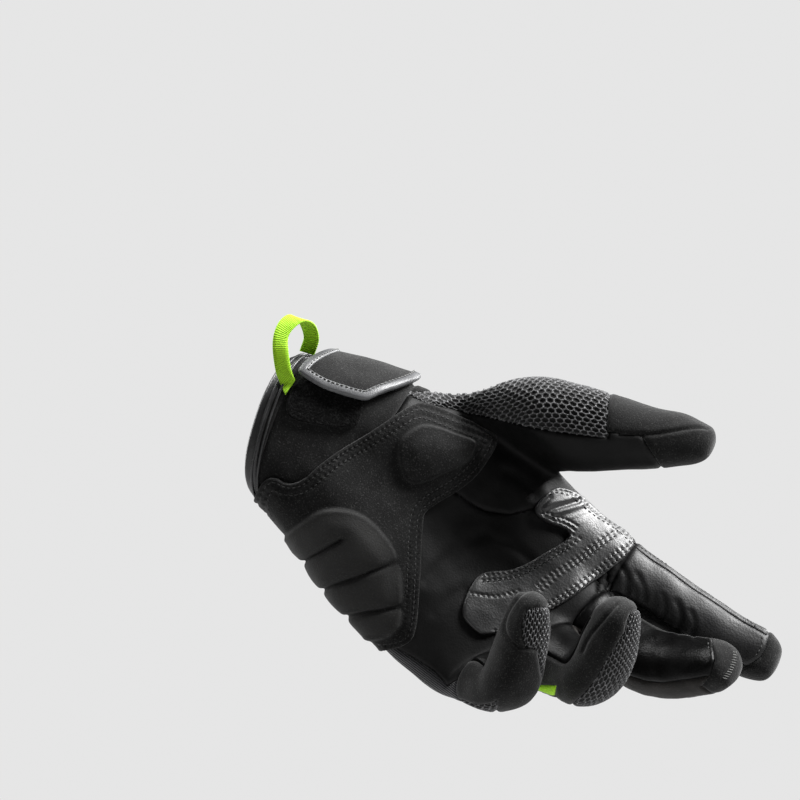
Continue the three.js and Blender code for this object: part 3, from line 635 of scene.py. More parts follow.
# %% [markdown]
# ## One smooth skin
#
# A Subdivision Surface rounds the cage. The skin is read back as arrays, so that seams, folds and pads can be
# worked out for every point at once, where sculpting would have to be done by hand. `Skin` keeps points in
# millimetres, quads and each quad's panel.

# %% Skin
SKIN_LEVELS = 4


def subdivided(bm, levels):
    """A new mesh: bm after a Subdivision Surface modifier."""
    mesh = bpy.data.meshes.new("work")
    bm.to_mesh(mesh)
    for _ in PANELS:
        mesh.materials.append(None)
    holder = bpy.data.objects.new("work", mesh)
    bpy.context.scene.collection.objects.link(holder)
    rounding = holder.modifiers.new("rounding", "SUBSURF")
    rounding.levels = levels
    rounding.render_levels = levels
    graph = bpy.context.evaluated_depsgraph_get()
    out = bpy.data.meshes.new_from_object(holder.evaluated_get(graph))
    bpy.data.objects.remove(holder)
    bpy.data.meshes.remove(mesh)
    return out


def mesh_to_bmesh(mesh):
    bm = bmesh.new()
    bm.from_mesh(mesh)
    bpy.data.meshes.remove(mesh)
    return bm


def unit(vectors):
    return vectors / np.maximum(np.linalg.norm(vectors, axis=1, keepdims=True), 1e-9)


class Skin:
    """A surface of quads: points and normals in millimetres, and the panel number of each quad."""

    def __init__(self, points, quads, panel):
        self.points, self.quads, self.panel = points, quads, panel
        self.normals = self.find_normals()

    def find_normals(self):
        a, b, c, d = (self.points[self.quads[:, i]] for i in range(4))
        face = np.cross(c - a, d - b)
        total = np.zeros_like(self.points)
        for i in range(4):
            np.add.at(total, self.quads[:, i], face)
        return unit(total)

    def evened(self, values, passes):
        """Values at the points, averaged over the quads around each point again and again."""
        count = np.bincount(self.quads.ravel(), minlength=len(self.points))[:, None]
        for _ in range(passes):
            mean = values[self.quads].mean(axis=1)
            total = np.zeros_like(values)
            for i in range(4):
                np.add.at(total, self.quads[:, i], mean)
            values = total / np.maximum(count, 1)
        return values

    def moved(self, shift):
        return Skin(self.points + shift, self.quads, self.panel)

    def part(self, keep):
        """The chosen quads with their own point numbers, and the old numbers of those points."""
        quads = self.quads[keep]
        old, new = np.unique(quads, return_inverse=True)
        return old, new.reshape(quads.shape)


def skin_of(mesh):
    """The skin of a mesh made of quads alone."""
    points = np.empty(len(mesh.vertices) * 3)
    mesh.vertices.foreach_get("co", points)
    quads = np.empty(len(mesh.loops), dtype=np.int64)
    mesh.loops.foreach_get("vertex_index", quads)
    panel = np.empty(len(mesh.polygons), dtype=np.int64)
    mesh.polygons.foreach_get("material_index", panel)
    return Skin(points.reshape(-1, 3) / MM, quads.reshape(-1, 4), panel)


def quad_edges(quads):
    """The four directed edges of every quad, side by side for all quads."""
    return np.vstack([quads[:, [i, (i + 1) % 4]] for i in range(4)])


def faces_of(quads):
    """Faces as plain lists. A quad whose last corner is doubled becomes a triangle."""
    return [list(dict.fromkeys(map(int, q))) for q in quads]


def skin_from_bmesh(bm):
    """The skin of a bmesh of quads and triangles. A triangle is kept as a quad with a doubled corner."""
    bm.verts.index_update()
    quads = [[v.index for v in f.verts] for f in bm.faces]
    quads = np.array([q + q[-1:] * (4 - len(q)) for q in quads])
    panel = np.array([f.material_index for f in bm.faces])
    return Skin(np.array([v.co[:] for v in bm.verts]) / MM, quads, panel)


print("skin levels:", SKIN_LEVELS)

# %% [markdown]
# ## Seams that don't follow the cage
#
# Some seams are scribed on the rounded mesh: every edge that crosses the seam's line, as the photograph's
# camera sees it, is split there, the split points are joined, and the faces on each side get their panel.
# Lines are given in millimetres on the plane through the hand.

# %% Scribed seams
EYE_AWAY = CAMERA_AWAY / MM


def seen(points):
    """Where points appear, in millimetres on the plane through the hand."""
    points = np.asarray(points, dtype=float)
    near = EYE_AWAY / (EYE_AWAY + points[..., 1])
    return np.stack([FRAME_CENTRE[0] + (points[..., 0] - FRAME_CENTRE[0]) * near,
                     FRAME_CENTRE[1] + (points[..., 2] - FRAME_CENTRE[1]) * near], axis=-1)


def side_of(place, line):
    """Distance to a line, more than nothing to the left of its run."""
    x, z = place
    best, sign = 1e9, 1
    for (ax, az), (bx, bz) in zip(line[:-1], line[1:]):
        run_x, run_z, off_x, off_z = bx - ax, bz - az, x - ax, z - az
        t = min(max((off_x * run_x + off_z * run_z) / (run_x ** 2 + run_z ** 2), 0), 1)
        gap = math.hypot(off_x - t * run_x, off_z - t * run_z)
        if gap < best:
            best = gap
            sign = 1 if run_x * off_z - run_z * off_x > 0 else -1
    return best * sign


def split_at_nought(bm, edges, value):
    """Splits every edge whose ends have values of different signs where the value is nought, and joins the
    new points across the faces."""
    split = []
    for edge in edges:
        a, b = edge.verts
        if (value[a] > 0) != (value[b] > 0):
            _, v = bmesh.utils.edge_split(edge, a, value[a] / (value[a] - value[b]))
            value[v] = 0.0
            split.append(v)
    bmesh.ops.connect_verts(bm, verts=split)


def scribe(bm, line, left, right, x_range, y_most=99, facing=0.6):
    """Cuts along a line. left and right say which panel becomes which on that side of the line's run.

    Faces are cut within x_range, in front of y_most, and where their normal's y is less than facing."""
    numbered = []
    for pairs in (left, right):
        numbered.append({PANELS.index(old): PANELS.index(new) for old, new in pairs.items()})
    left, right = numbered
    bm.normal_update()

    def chosen(face):
        middle = face.calc_center_median() / MM
        known = face.material_index in left or face.material_index in right
        return (known and face.normal.y < facing and middle.y < y_most
                and x_range[0] < middle.x < x_range[1])

    faces = [f for f in bm.faces if chosen(f)]
    value = {v: side_of(seen(v.co / MM), line) for f in faces for v in f.verts}
    split_at_nought(bm, dict.fromkeys(e for f in faces for e in f.edges), value)
    bmesh.ops.triangulate(bm, faces=[f for f in bm.faces if len(f.verts) > 4])
    bm.normal_update()
    for face in bm.faces:
        if chosen(face) and all(v in value for v in face.verts):
            becomes = left if sum(value[v] for v in face.verts) > 0 else right
            face.material_index = becomes.get(face.material_index, face.material_index)


print("eye at", round(EYE_AWAY), "mm")

# %% Seam lines
MESH_LOWER = [(30, 17), (52, 14), (60, 12.5), (68, 9.5), (78, 6.5), (98, 1.7), (116, -2), (130, -4.3),
              (148, -6)]
MESH_UPPER = [(30, 19), (52, 15.5), (66, 15), (78, 13.5), (82, 18)]
THUMB_SEAM = [(50, -14), (70, -23), (80, -29.5), (86, -34), (92, -37), (102, -38.5), (110, -36.5), (118, -34),
              (132, -32), (150, -30)]
THUMB_END = [(120, -4.2), (158.7, -4.2), (162.5, -10.8), (168, -19.4), (171, -26)]
RING_EDGE = [(118, -135), (121, -118), (124, -100)]
LIME_EDGE = [(90, -112), (110, -112.5), (122, -112), (140, -113)]
LITTLE_CAP = [(130, -78), (113, -78.3), (109.5, -79.8), (107.6, -84.7), (107.5, -90.7)]
LITTLE_MESH = LITTLE_CAP + [
    (109.2, -95.5), (114.4, -96.8), (115.2, -101.9), (116.5, -109.7), (118.7, -122)]
RING_CAP = [(172, -78), (158.2, -78.7), (154.4, -80.4), (152.7, -84.7), (151.8, -88.6)]
RING_MESH = RING_CAP + [
    (147.9, -95), (142.8, -102.8), (139.3, -109.2), (134.2, -115.2), (126.4, -122)]
INDEX_END = [(210, -76), (211.5, -84), (212.6, -88), (213.6, -91.6), (212.4, -96.3), (210.3, -99.8),
             (206, -102.8), (200, -105.4), (193, -107.5), (180, -110)]
MIDDLE_END = [(189, -82), (189.4, -94.6), (190.4, -101), (188.6, -107.5), (185, -112), (183, -120)]
MIDDLE_LOW = [(148, -105), (154.4, -107.9), (161.3, -110), (168.6, -110.6), (175, -110),
              (182.3, -109), (200, -106)]
KNIT_EDGE = [(40, -89), (49.9, -94.6), (60.2, -100.2), (69.7, -105.8), (75.7, -111.8),
             (82, -116.5), (93.7, -120.4)]
MESH_LEFT = {panel: "thumb_mesh" for panel in ("thumb_leather", "palm_leather", "wrist_gusset")}
MESH_RIGHT = {panel: "thumb_leather" for panel in ("thumb_mesh", "palm_leather", "wrist_gusset")}
INDEX_CAP = {panel: "index_tip" for panel in ("index_palm", "side_index", "fourchette_index_middle")}
# More than any normal's y, so that a seam runs round the whole finger
ALL_ROUND = 9

rounded = mesh_to_bmesh(subdivided(cage, SKIN_LEVELS))
scribe(rounded, MESH_LOWER, MESH_LEFT, MESH_RIGHT, (54, 144), y_most=6)
scribe(rounded, MESH_UPPER, {"thumb_mesh": "wrist_gusset"}, {"wrist_gusset": "thumb_mesh"},
       (44, 80), y_most=14)
scribe(rounded, THUMB_SEAM, {"palm_leather": "thumb_leather"}, {"thumb_leather": "palm_leather"},
       (52, 140))
scribe(rounded, THUMB_END, {"thumb_leather": "thumb_tip"}, {"thumb_tip": "thumb_leather"}, (148, 180))
scribe(rounded, LIME_EDGE, {"fourchette_ring_little": "ring_side"}, {}, (112, 160), facing=ALL_ROUND)
scribe(rounded, LIME_EDGE, {"fourchette_ring_little": "little_side"}, {}, (60, 112), facing=ALL_ROUND)
scribe(rounded, RING_EDGE, {}, {"fourchette_ring_little": "ring_side"}, (90, 160), facing=ALL_ROUND)
scribe(rounded, LITTLE_CAP, {"little_tip": "little_back"}, {}, (100, 125), facing=ALL_ROUND)
scribe(rounded, LITTLE_MESH, {"side_little": "little_back"}, {"little_back": "side_little"},
       (96, 125), facing=0.35)
scribe(rounded, RING_CAP, {"ring_tip": "ring_back"}, {}, (130, 170), facing=ALL_ROUND)
scribe(rounded, RING_MESH, {"ring_side": "ring_back"}, {"ring_back": "ring_side"},
       (122, 170), facing=0.35)
scribe(rounded, INDEX_END, INDEX_CAP, {"index_tip": "index_palm"}, (190, 230), facing=0.5)
scribe(rounded, MIDDLE_END, {"middle_palm": "middle_tip"}, {"middle_tip": "middle_palm"},
       (176, 200), facing=0.5)
scribe(rounded, MIDDLE_LOW, {"fourchette_middle_ring": "middle_palm"},
       {"middle_palm": "fourchette_middle_ring"}, (150, 196))
scribe(rounded, KNIT_EDGE, {}, {"palm_leather": "hand_back"}, (40, 110), facing=ALL_ROUND)
skin = skin_from_bmesh(rounded)
rounded.free()
cage.free()
print("scribed skin:", len(skin.quads), "faces")

# %% [markdown]
# ## The hand inside
#
# A worn glove isn't smooth: knuckles and mounds push it out, it sags between them, and leather is never
# quite even. Soft swells at chosen places and a little noise give that, before any seam is drawn.

# %% Swells
# The hand inside fills the glove unevenly: places as seen, reach and height in millimetres
SWELLS = (
    ((118, 20), 22, 2.2), ((80, 14), 9, 1.6), ((168, 9), 14, -1.3), ((188, 4), 8, -1.4),
    ((192, -14), 7, -1.2), ((14, -66), 20, -1.4), ((34, -86), 18, -1.6), ((78, -116), 13, 1.6),
    ((136, -121), 14, 0.9), ((164, -120), 18, 1.2), ((150, -46), 24, 1.3), ((214, -90), 9, 1.0))
swell = np.zeros(len(skin.points))
for place, reach, height in SWELLS:
    swell += height * np.exp(-(np.linalg.norm(seen(skin.points) - np.array(place), axis=1) / reach) ** 2)
skin = skin.moved(skin.normals * swell[:, None])


def soft_noise(points, size, seed):
    """Smooth noise from about -1 to 1 at each point, with features of the given size in millimetres."""
    offset = Vector((seed * 13.1, seed * 7.7, seed * 3.3))
    return np.array([noise.noise(Vector(p) / size + offset) for p in points])


# Height, size and seed of the unevenness, coarse and fine
UNEVEN = ((0.5, 17, 1), (0.22, 7, 2))
uneven = sum(height * soft_noise(skin.points, size, seed) for height, size, seed in UNEVEN)
skin = skin.moved(skin.normals * uneven[:, None])
# The wall's thickness runs along normals evened over many passes, so that the inside never crosses itself
INWARD_PASSES = 60
inward = unit(skin.evened(skin.normals, INWARD_PASSES))
print("skin:", len(skin.points), "points,", len(skin.quads), "quads")

# %% [markdown]
# ## Lines on the skin
#
# Folds, rows of stitches and the edges of patches all follow lines. For each point of the skin these
# helpers tell how far off a line it lies and how far along it, or how deep inside an outline.

# %% Lines on the skin
def along_line(points, line, closed=False):
    """Distance to a polyline and distance run along it, for points of the same number of columns."""
    corners = np.array(line, dtype=float)
    if closed:
        corners = np.vstack([corners, corners[:1]])
    nearest = np.full(len(points), np.inf)
    run_at = np.zeros(len(points))
    run = 0.0
    for a, b in zip(corners[:-1], corners[1:]):
        step = b - a
        length = np.linalg.norm(step)
        t = np.clip((points - a) @ step / max(length ** 2, 1e-9), 0, 1)
        gap = np.linalg.norm(points - a - t[:, None] * step, axis=1)
        closer = gap < nearest
        nearest[closer] = gap[closer]
        run_at[closer] = run + t[closer] * length
        run += length
    return nearest, run_at


def inside_depth(points, outline):
    """How far inside a closed outline each point lies, less than nothing outside it."""
    nearest, _ = along_line(points, outline, closed=True)
    inside = np.zeros(len(points), dtype=bool)
    for (ax, ay), (bx, by) in zip(outline, list(outline[1:]) + [outline[0]]):
        crosses = (ay > points[:, 1]) != (by > points[:, 1])
        if ay == by:
            continue
        where = (bx - ax) * (points[:, 1] - ay) / (by - ay) + ax
        inside ^= crosses & (points[:, 0] < where)
    return np.where(inside, nearest, -nearest)


def run_along(points):
    """Distance run from the first point to each point of a path."""
    steps = np.linalg.norm(np.diff(points, axis=0), axis=1)
    return np.concatenate([[0], np.cumsum(steps)])


def smooth_step(value, low, high):
    t = np.clip((value - low) / (high - low), 0, 1)
    return t * t * (3 - 2 * t)


def softened(outline, closed=True):
    """Corner cutting in two passes that round the outline's corners."""
    points = [tuple(p) for p in outline]
    for _ in range(2):
        pairs = list(zip(points, points[1:] + points[:1]))
        if not closed:
            pairs.pop()
        cut = []
        for a, b in pairs:
            cut.append(tuple(0.75 * u + 0.25 * v for u, v in zip(a, b)))
            cut.append(tuple(0.25 * u + 0.75 * v for u, v in zip(a, b)))
        points = cut if closed else [points[0]] + cut[1:-1] + [points[-1]]
    return points


def front(points):
    """Places on the front view: x and z."""
    return points[:, [0, 2]]


def finder_of(points):
    """A tree that finds the nearest of many points."""
    finder = KDTree(len(points))
    for i, p in enumerate(points):
        finder.insert(p, i)
    finder.balance()
    return finder


print("line helpers ready")

# %% [markdown]
# ## Distance to the seams
#
# A seam is wherever two panels meet. Points are sampled along all such edges, and the nearest one tells
# every point of the skin its distance, so that all seams can be drawn in by one rule.

# %% Distance to the seams
# Two tips are cut in one piece with the finger's side, so there is no seam between them
UNSEEN_BORDERS = (("ring_tip", "ring_side"), ("little_tip", "side_little"))


def border_samples(skin):
    """Points along the edges where two panels meet."""
    edges = quad_edges(skin.quads)
    panel = np.tile(skin.panel, 4)
    edges.sort(axis=1)
    order = np.lexsort((edges[:, 1], edges[:, 0]))
    edges, panel = edges[order], panel[order]
    real = edges[:, 0] != edges[:, 1]
    edges, panel = edges[real], panel[real]
    same = (edges[:-1] == edges[1:]).all(axis=1) & (panel[:-1] != panel[1:])
    for pair in UNSEEN_BORDERS:
        numbers = [PANELS.index(name) for name in pair]
        same &= ~(np.isin(panel[:-1], numbers) & np.isin(panel[1:], numbers))
    a, b = skin.points[edges[:-1][same, 0]], skin.points[edges[:-1][same, 1]]
    return np.vstack([a + (b - a) * t for t in (0, 0.25, 0.5, 0.75)])


seam_points = border_samples(skin)
seam_finder = finder_of(seam_points)
seam_gap = np.array([seam_finder.find(p)[2] for p in skin.points])
print(len(seam_points), "seam samples")

# %% [markdown]
# ## Folds and seams
#
# Panels are sewn inside out and turned, so they sink at their seams and swell just beside them. Folds are
# short lines, given as the photograph's view has them, each with a width and a depth in millimetres. Moving
# the skin along its normals is enough for both, because none of them undercuts.

# %% Folds
# width, depth, points x, z
FOLDS = [
    (1.0, 0.6, ((113.8, -37.2), (115.8, -34.2), (118.4, -31.6))),
    (1.1, 0.75, ((116, -38), (122, -35.8), (131, -33.6))),
    (1.4, 0.35, ((120, -40.4), (127, -38.8), (134, -36.4))),
    (1.2, 0.2, ((125, -42.4), (131, -40.8), (136, -38.4))),
    (2.6, 0.6, ((66, -66), (74, -58), (84, -50), (92, -47))),
    (2.2, 0.5, ((70, -80), (76, -74), (82, -70))),
    (2.0, 0.5, ((96, -50), (104, -52), (110, -57))),
    (1.1, 0.5, ((150, -60), (153, -66), (152, -72))),
    (1.0, 0.35, ((157, -64), (160, -70), (160, -75))),
    (1.2, 0.45, ((174, -76), (176, -82), (174, -88))),
    (0.9, 0.35, ((180, -80), (182, -85), (180, -90))),
    (0.9, 0.3, ((168, -73), (169, -79), (167, -84))),
    (2.4, 0.7, ((101, -20), (108, -24), (113, -30))),
]


# Points whose normal's y is less than this face the front. The swell beside a crease is this share of it.
FOLD_FACING, FOLD_SWELL = 0.25, 0.45


def folds(points, normals):
    """Height that the folds add at points that face the front: a crease with a low swell beside it."""
    facing = normals[:, 1] < FOLD_FACING
    height = np.zeros(len(points))
    for width, depth, line in FOLDS:
        gap, _ = along_line(front(points), softened(line, closed=False))
        crease = np.exp(-(gap / width) ** 2)
        beside = np.exp(-((gap - 2 * width) / (1.2 * width)) ** 2)
        height += np.where(facing, -depth * crease + FOLD_SWELL * depth * beside, 0)
    return height


print(len(FOLDS), "folds")

# %% Dressing
# How deep and how wide a seam sinks, how high it swells beside, how far off and how wide
SEAM = (0.75, 0.6, 0.12, 2.4, 1.2)
SEWN_LINE = (0.8, 0.65, 0.12, 2.0, 1.0)


def seam_height(gap, deep, wide, swell, swell_at, swell_wide):
    return -deep * np.exp(-(gap / wide) ** 2) + swell * np.exp(-((gap - swell_at) / swell_wide) ** 2)


# Seams sewn inside a panel, as seen
SEWN_LINES = (
    ((158.7, -4.2), (166.8, -3.6), (179.7, -1.3), (184.3, -0.9), (187, -1.4)),
    ((112.5, -70), (108, -71.8), (104.8, -75.2), (101.5, -80), (99.9, -84.6), (100, -89), (102.5, -93.3),
     (106, -95.8), (109.2, -96.2)),
    ((148.4, -77), (142.3, -83.9), (135.9, -91.2), (133.3, -97.6)),
)
BACK_LINES = (
    ((24, -4), (56, -18), (98, -36), (134, -46)),
    ((22, -36), (50, -64), (80, -92), (94, -104)),
)
FAR_OFF = 99
dress = seam_height(seam_gap, *SEAM)
for line in SEWN_LINES + BACK_LINES:
    gap, _ = along_line(seen(skin.points), softened(line, closed=False))
    faces_it = skin.normals[:, 1] > 0.1 if line in BACK_LINES else skin.normals[:, 1] < 0.3
    dress += seam_height(np.where(faces_it, gap, FAR_OFF), *SEWN_LINE)
dress += folds(skin.points, skin.normals)
dressed = skin.moved(skin.normals * dress[:, None])
print("dressed by", round(dress.min(), 2), "to", round(dress.max(), 2), "mm")

# %% [markdown]
# ## Pieces
#
# `make_piece` turns points and faces into an object, gives it its material, makes it ride on the root and
# hides the model's nodes that it stands for. `wall` closes two skins with a rim, because real panels have a
# thickness that shows at the wrist opening.

# %% Piece helpers
def make_piece(name, points, faces, material, replaced=(), attributes=None):
    mesh = bpy.data.meshes.new(name)
    mesh.from_pydata((np.asarray(points) * MM).tolist(), [], [list(map(int, f)) for f in faces])
    for key, values in (attributes or {}).items():
        layer = mesh.attributes.new(key, "FLOAT", "POINT")
        layer.data.foreach_set("value", np.asarray(values, dtype=np.float32))
    mesh.materials.append(MATERIALS[material])
    mesh.polygons.foreach_set("use_smooth", [True] * len(mesh.polygons))
    mesh.validate()
    mesh.update()
    piece = bpy.data.objects.new(name, mesh)
    bpy.context.scene.collection.objects.link(piece)
    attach(piece, "root")
    if replaced:
        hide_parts(*replaced)
    return piece


def rim_edges(quads):
    """Directed edges used by one face only."""
    keys = set(map(tuple, quad_edges(quads).tolist()))
    return sorted((a, b) for a, b in keys if (b, a) not in keys)


def wall(top, under, quads):
    """Points and faces of a closed slab between two skins of the same quads."""
    n = len(top)
    faces = faces_of(quads)
    faces += [[i + n for i in reversed(face)] for face in faces]
    faces += [[b, a, a + n, b + n] for a, b in rim_edges(quads)]
    return np.vstack([top, under]), faces


print("piece helpers ready")

# %% [markdown]
# ## Wall panels
#
# Suede at the cuff and the tips, leather on the palm and the fingers' front, knit on the back. Each panel is
# its own closed slab: the dressed skin outside and the plain skin, a wall's thickness further in, inside.

# %% Wall panels
WALL = 2.0
# panel: its material and its slot
PANEL_LOOKS = {
    "cuff_palm": ("suede", "suede"), "cuff_back": ("suede", "suede"), "wrist_gusset": ("suede", "suede"),
    "palm_leather": ("leather", "leather"), "hand_back": ("knit", "knit"),
    "thumb_leather": ("leather", "leather"), "thumb_tip": ("suede", "suede"),
    "side_index": ("shiny", "leather"), "side_little": ("suede", "suede"),
    "fourchette_index_middle": ("suede", "suede"), "fourchette_middle_ring": ("brown_suede", "suede"),
    "fourchette_ring_little": ("lime", "lime_textile"),
    "ring_side": ("suede", "suede"), "little_side": ("suede", "suede"),
}
for finger in FINGERS:
    PANEL_LOOKS[finger + "_palm"] = ("shiny" if finger == "index" else "dark_leather", "leather")
    PANEL_LOOKS[finger + "_tip"] = ("dark_suede" if finger in ("ring", "little") else "suede", "suede")
# Tips cut in one piece with the finger's side
WITH_SIDE = {"ring_tip": "ring_side", "little_tip": "side_little"}
# Panels that are parts of one node's strip between the fingers
FOURCHETTE_PARTS = {"ring_side": "fourchette_ring_little", "little_side": "fourchette_ring_little"}
inner_points = skin.points - inward * WALL
for name, (look, slot) in PANEL_LOOKS.items():
    if name in WITH_SIDE.values():
        continue
    panels = [name, WITH_SIDE[name]] if name in WITH_SIDE else [name]
    old, quads = skin.part(np.isin(skin.panel, [PANELS.index(panel) for panel in panels]))
    points, faces = wall(dressed.points[old], inner_points[old], quads)
    nodes = [FOURCHETTE_PARTS.get(panel, panel) for panel in panels]
    make_piece(name + "_skin", points, faces, look, nodes)
print(len(PANEL_LOOKS) - len(WITH_SIDE), "wall panels")

# %% [markdown]
# ## Air mesh
#
# The thumb's back and the finger backs are open hexagonal mesh over a dark lining. Cut holes would need
# millions of faces, so the holes are sunk into a finer skin instead, between rounded threads, and painted
# near black: the lining seen through them and painted shade inside them. u runs along the sleeve and v round
# it, both in millimetres, so that the rows follow the finger.

# %% Place on a sleeve
THUMB_ROOT_LINE = ((40, -2, -14), (62, -4, -10), (84, -8, -4))
# Angle times girth radius is the way round. The slope leans the thumb's rows with its height.
FINGER_GIRTH, THUMB_GIRTH, THUMB_STRETCH, THUMB_SLOPE = 14.5, 15.5, 1.25, 0.12
THUMB_ROUND_FROM, THUMB_ROUND_TO = 92, 120
RIDGE_STEP = 4


def smooth_path(points, steps):
    """A Catmull-Rom curve through points."""
    p = np.array(points, dtype=float)
    p = np.vstack([2 * p[0] - p[1], p, 2 * p[-1] - p[-2]])
    out = []
    for i in range(1, len(p) - 2):
        for t in np.linspace(0, 1, steps, endpoint=False):
            a = 2 * p[i]
            b = p[i + 1] - p[i - 1]
            c = 2 * p[i - 1] - 5 * p[i] + 4 * p[i + 1] - p[i + 2]
            d = -p[i - 1] + 3 * p[i] - 3 * p[i + 1] + p[i + 2]
            out.append(0.5 * (a + b * t + c * t * t + d * t ** 3))
    return np.array(out + [p[-2]])


def sleeve_place(points, line, across):
    """Run along a sleeve's centre line and way round it, in millimetres."""
    path = smooth_path(line, 24)
    along = unit(np.gradient(path, axis=0))
    run = run_along(path)
    across = np.array(across, dtype=float)
    side = unit(across - along * (along @ across)[:, None])
    backward = np.cross(side, along)
    finder = finder_of(path)
    at = np.array([finder.find(p)[1] for p in points])
    off = points - path[at]
    u = run[at] + (off * along[at]).sum(axis=1)
    angle = np.arctan2((off * side[at]).sum(axis=1), (off * backward[at]).sum(axis=1))
    return u, angle * FINGER_GIRTH


def thumb_place(points):
    """Like sleeve_place, for the thumb, whose centre line follows x closely. Near its root the way round is
    the height, because there the mesh lies flat on the hand."""
    line = np.array(list(THUMB_ROOT_LINE) + [row[:3] for row in THUMB["rows"]])
    y, z = (np.interp(points[:, 0], line[:, 0], line[:, i]) for i in (1, 2))
    angle = np.arctan2(points[:, 2] - z, y - points[:, 1])
    round_it = smooth_step(points[:, 0], THUMB_ROUND_FROM, THUMB_ROUND_TO)
    # Over the ridge the height runs on downwards, so that the back's rows go on from the front's
    stations = np.arange(points[:, 0].min(), points[:, 0].max() + RIDGE_STEP, RIDGE_STEP)
    ridge = [points[np.abs(points[:, 0] - x) < RIDGE_STEP, 2].max() for x in stations]
    ridge = np.interp(points[:, 0], stations, ridge)
    height = np.where(angle > math.pi / 2, 2 * ridge - points[:, 2], points[:, 2]) - z
    v = round_it * angle * THUMB_GIRTH + (1 - round_it) * THUMB_STRETCH * height
    return points[:, 0] + THUMB_SLOPE * points[:, 2], v


print("thumb line of", len(THUMB_ROOT_LINE) + len(THUMB["rows"]), "points")

# %% Air mesh
# A hexagon is HEX_ALONG wide, its rows lie half HEX_ROUND apart, and it is squashed across by HEX_SQUASH.
HEX_ALONG, HEX_ROUND, HEX_SQUASH, THREAD_WIDE, HOLE_DEEP = 3.2, 3.6, 1.54, 0.26, 0.7
# Levels of the finer skin, how near a seam the holes end, and how deep under the skin the lining lies
MESH_LEVELS, HOLES_OFF_SEAM, LINING_DEEP = 2, (0.35, 0.8), 1.3


def hex_holes(u, v):
    """1 in the middle of a hole of the hexagonal mesh, 0 on its threads."""
    distances = []
    for row in range(-1, 2):
        for column in range(-2, 3):
            for shift in (0, 0.5):
                cu = (np.floor(u / HEX_ALONG) + column + shift) * HEX_ALONG
                cv = (np.floor(v / HEX_ROUND) + row + shift) * HEX_ROUND
                distances.append(np.hypot(u - cu, (v - cv) * HEX_SQUASH))
    distances = np.partition(np.array(distances), 1, axis=0)
    edge = (distances[1] - distances[0]) / 2
    return smooth_step(edge, THREAD_WIDE * 0.6, THREAD_WIDE * 1.6)


def panel_bmesh(surface, keep):
    """The chosen quads of a skin as a bmesh, with their old point numbers and their new quads."""
    old, quads = surface.part(keep)
    bm = bmesh.new()
    verts = [bm.verts.new(p) for p in surface.points[old] * MM]
    for face in faces_of(quads):
        bm.faces.new([verts[i] for i in face])
    return bm, old, quads


def mesh_panel(name, place):
    bm, old, quads = panel_bmesh(dressed, skin.panel == PANELS.index(name))
    fine = skin_of(subdivided(bm, MESH_LEVELS))
    bm.free()
    hole = hex_holes(*place(fine.points))
    edge = np.array([seam_finder.find(p)[2] for p in fine.points])
    hole *= smooth_step(edge, *HOLES_OFF_SEAM)
    points = fine.points - fine.normals * (hole * HOLE_DEEP)[:, None]
    # The hole attribute paints the sunk holes near black: the lining seen through them and painted shade.
    make_piece(name + "_cloth", points, fine.quads, "mesh", [name], {"hole": hole})
    points, faces = wall(dressed.points[old] - skin.normals[old] * LINING_DEEP, inner_points[old], quads)
    make_piece(name + "_lining", points, faces, "lining", [name])


mesh_panel("thumb_mesh", thumb_place)
for finger, facts in FINGERS.items():
    centres = [row[:3] for row in facts["rows"]]
    mesh_panel(finger + "_back", lambda points: sleeve_place(points, centres, facts["across"]))
print(1 + len(FINGERS), "mesh panels")

# %% [markdown]
# ## Sheets laid on the palm
#
# A patch is the part of the skin inside an outline, so that it follows every swell below it. Its edge is cut
# exactly: every mesh edge that crosses the outline is split there and the split points are joined. Its top
# is rounded down towards the skin at the rim, as the edge of thick leather is.

# %% Cut patches
LIFT = 0.9
STITCH_PITCH = 2.3
# Rim points closer than this are one. Faces this far outside an outline are still subdivided, then cut off.
RIM_MERGE, OUTSIDE_MARGIN, BACK_MARGIN = 0.22, 4, 5
HAND_PANELS = [PANELS.index(p) for p in (
    "cuff_binding", "cuff_palm", "cuff_back", "wrist_gusset", "palm_leather", "hand_back", "thumb_leather",
    "thumb_mesh", "side_index", "index_palm", "middle_palm")]
skin_finder = finder_of(skin.points)


def bm_points(bm):
    return np.array([v.co[:] for v in bm.verts]) / MM


def patch_bmesh(outline, backmost):
    """The part of the skin inside an outline of the front view, in front of backmost, subdivided once."""
    centre = skin.points[skin.quads].mean(axis=1)
    normal = skin.normals[skin.quads].mean(axis=1)
    keep = (inside_depth(front(centre), outline) > -OUTSIDE_MARGIN) & np.isin(skin.panel, HAND_PANELS)
    keep &= (normal[:, 1] < 0.5) & (centre[:, 1] < backmost + BACK_MARGIN)
    bm, _, _ = panel_bmesh(skin, keep)
    finer = mesh_to_bmesh(subdivided(bm, 1))
    bm.free()
    points = bm_points(finer)
    field = np.minimum(inside_depth(front(points), outline), backmost - points[:, 1])
    value = dict(zip(finer.verts, field))
    split_at_nought(finer, list(finer.edges), value)
    outside = [f for f in finer.faces if sum(value[v] for v in f.verts) <= 0]
    bmesh.ops.delete(finer, geom=outside, context="FACES")
    rim = [v for v in finer.verts if v.is_boundary]
    bmesh.ops.remove_doubles(finer, verts=rim, dist=RIM_MERGE * MM)
    finer.normal_update()
    return finer


print("patches may lie on", len(HAND_PANELS), "panels")

# %% Laid sheets
# How far in the rim's rounding runs, how much of the thickness it takes, how deep the edge reaches down
RIM_WIDE, RIM_LOW, FOOT_DEEP = 0.7, 0.5, 0.6
NEAR_POINTS, NEAR_SOFTENING = 4, 0.2


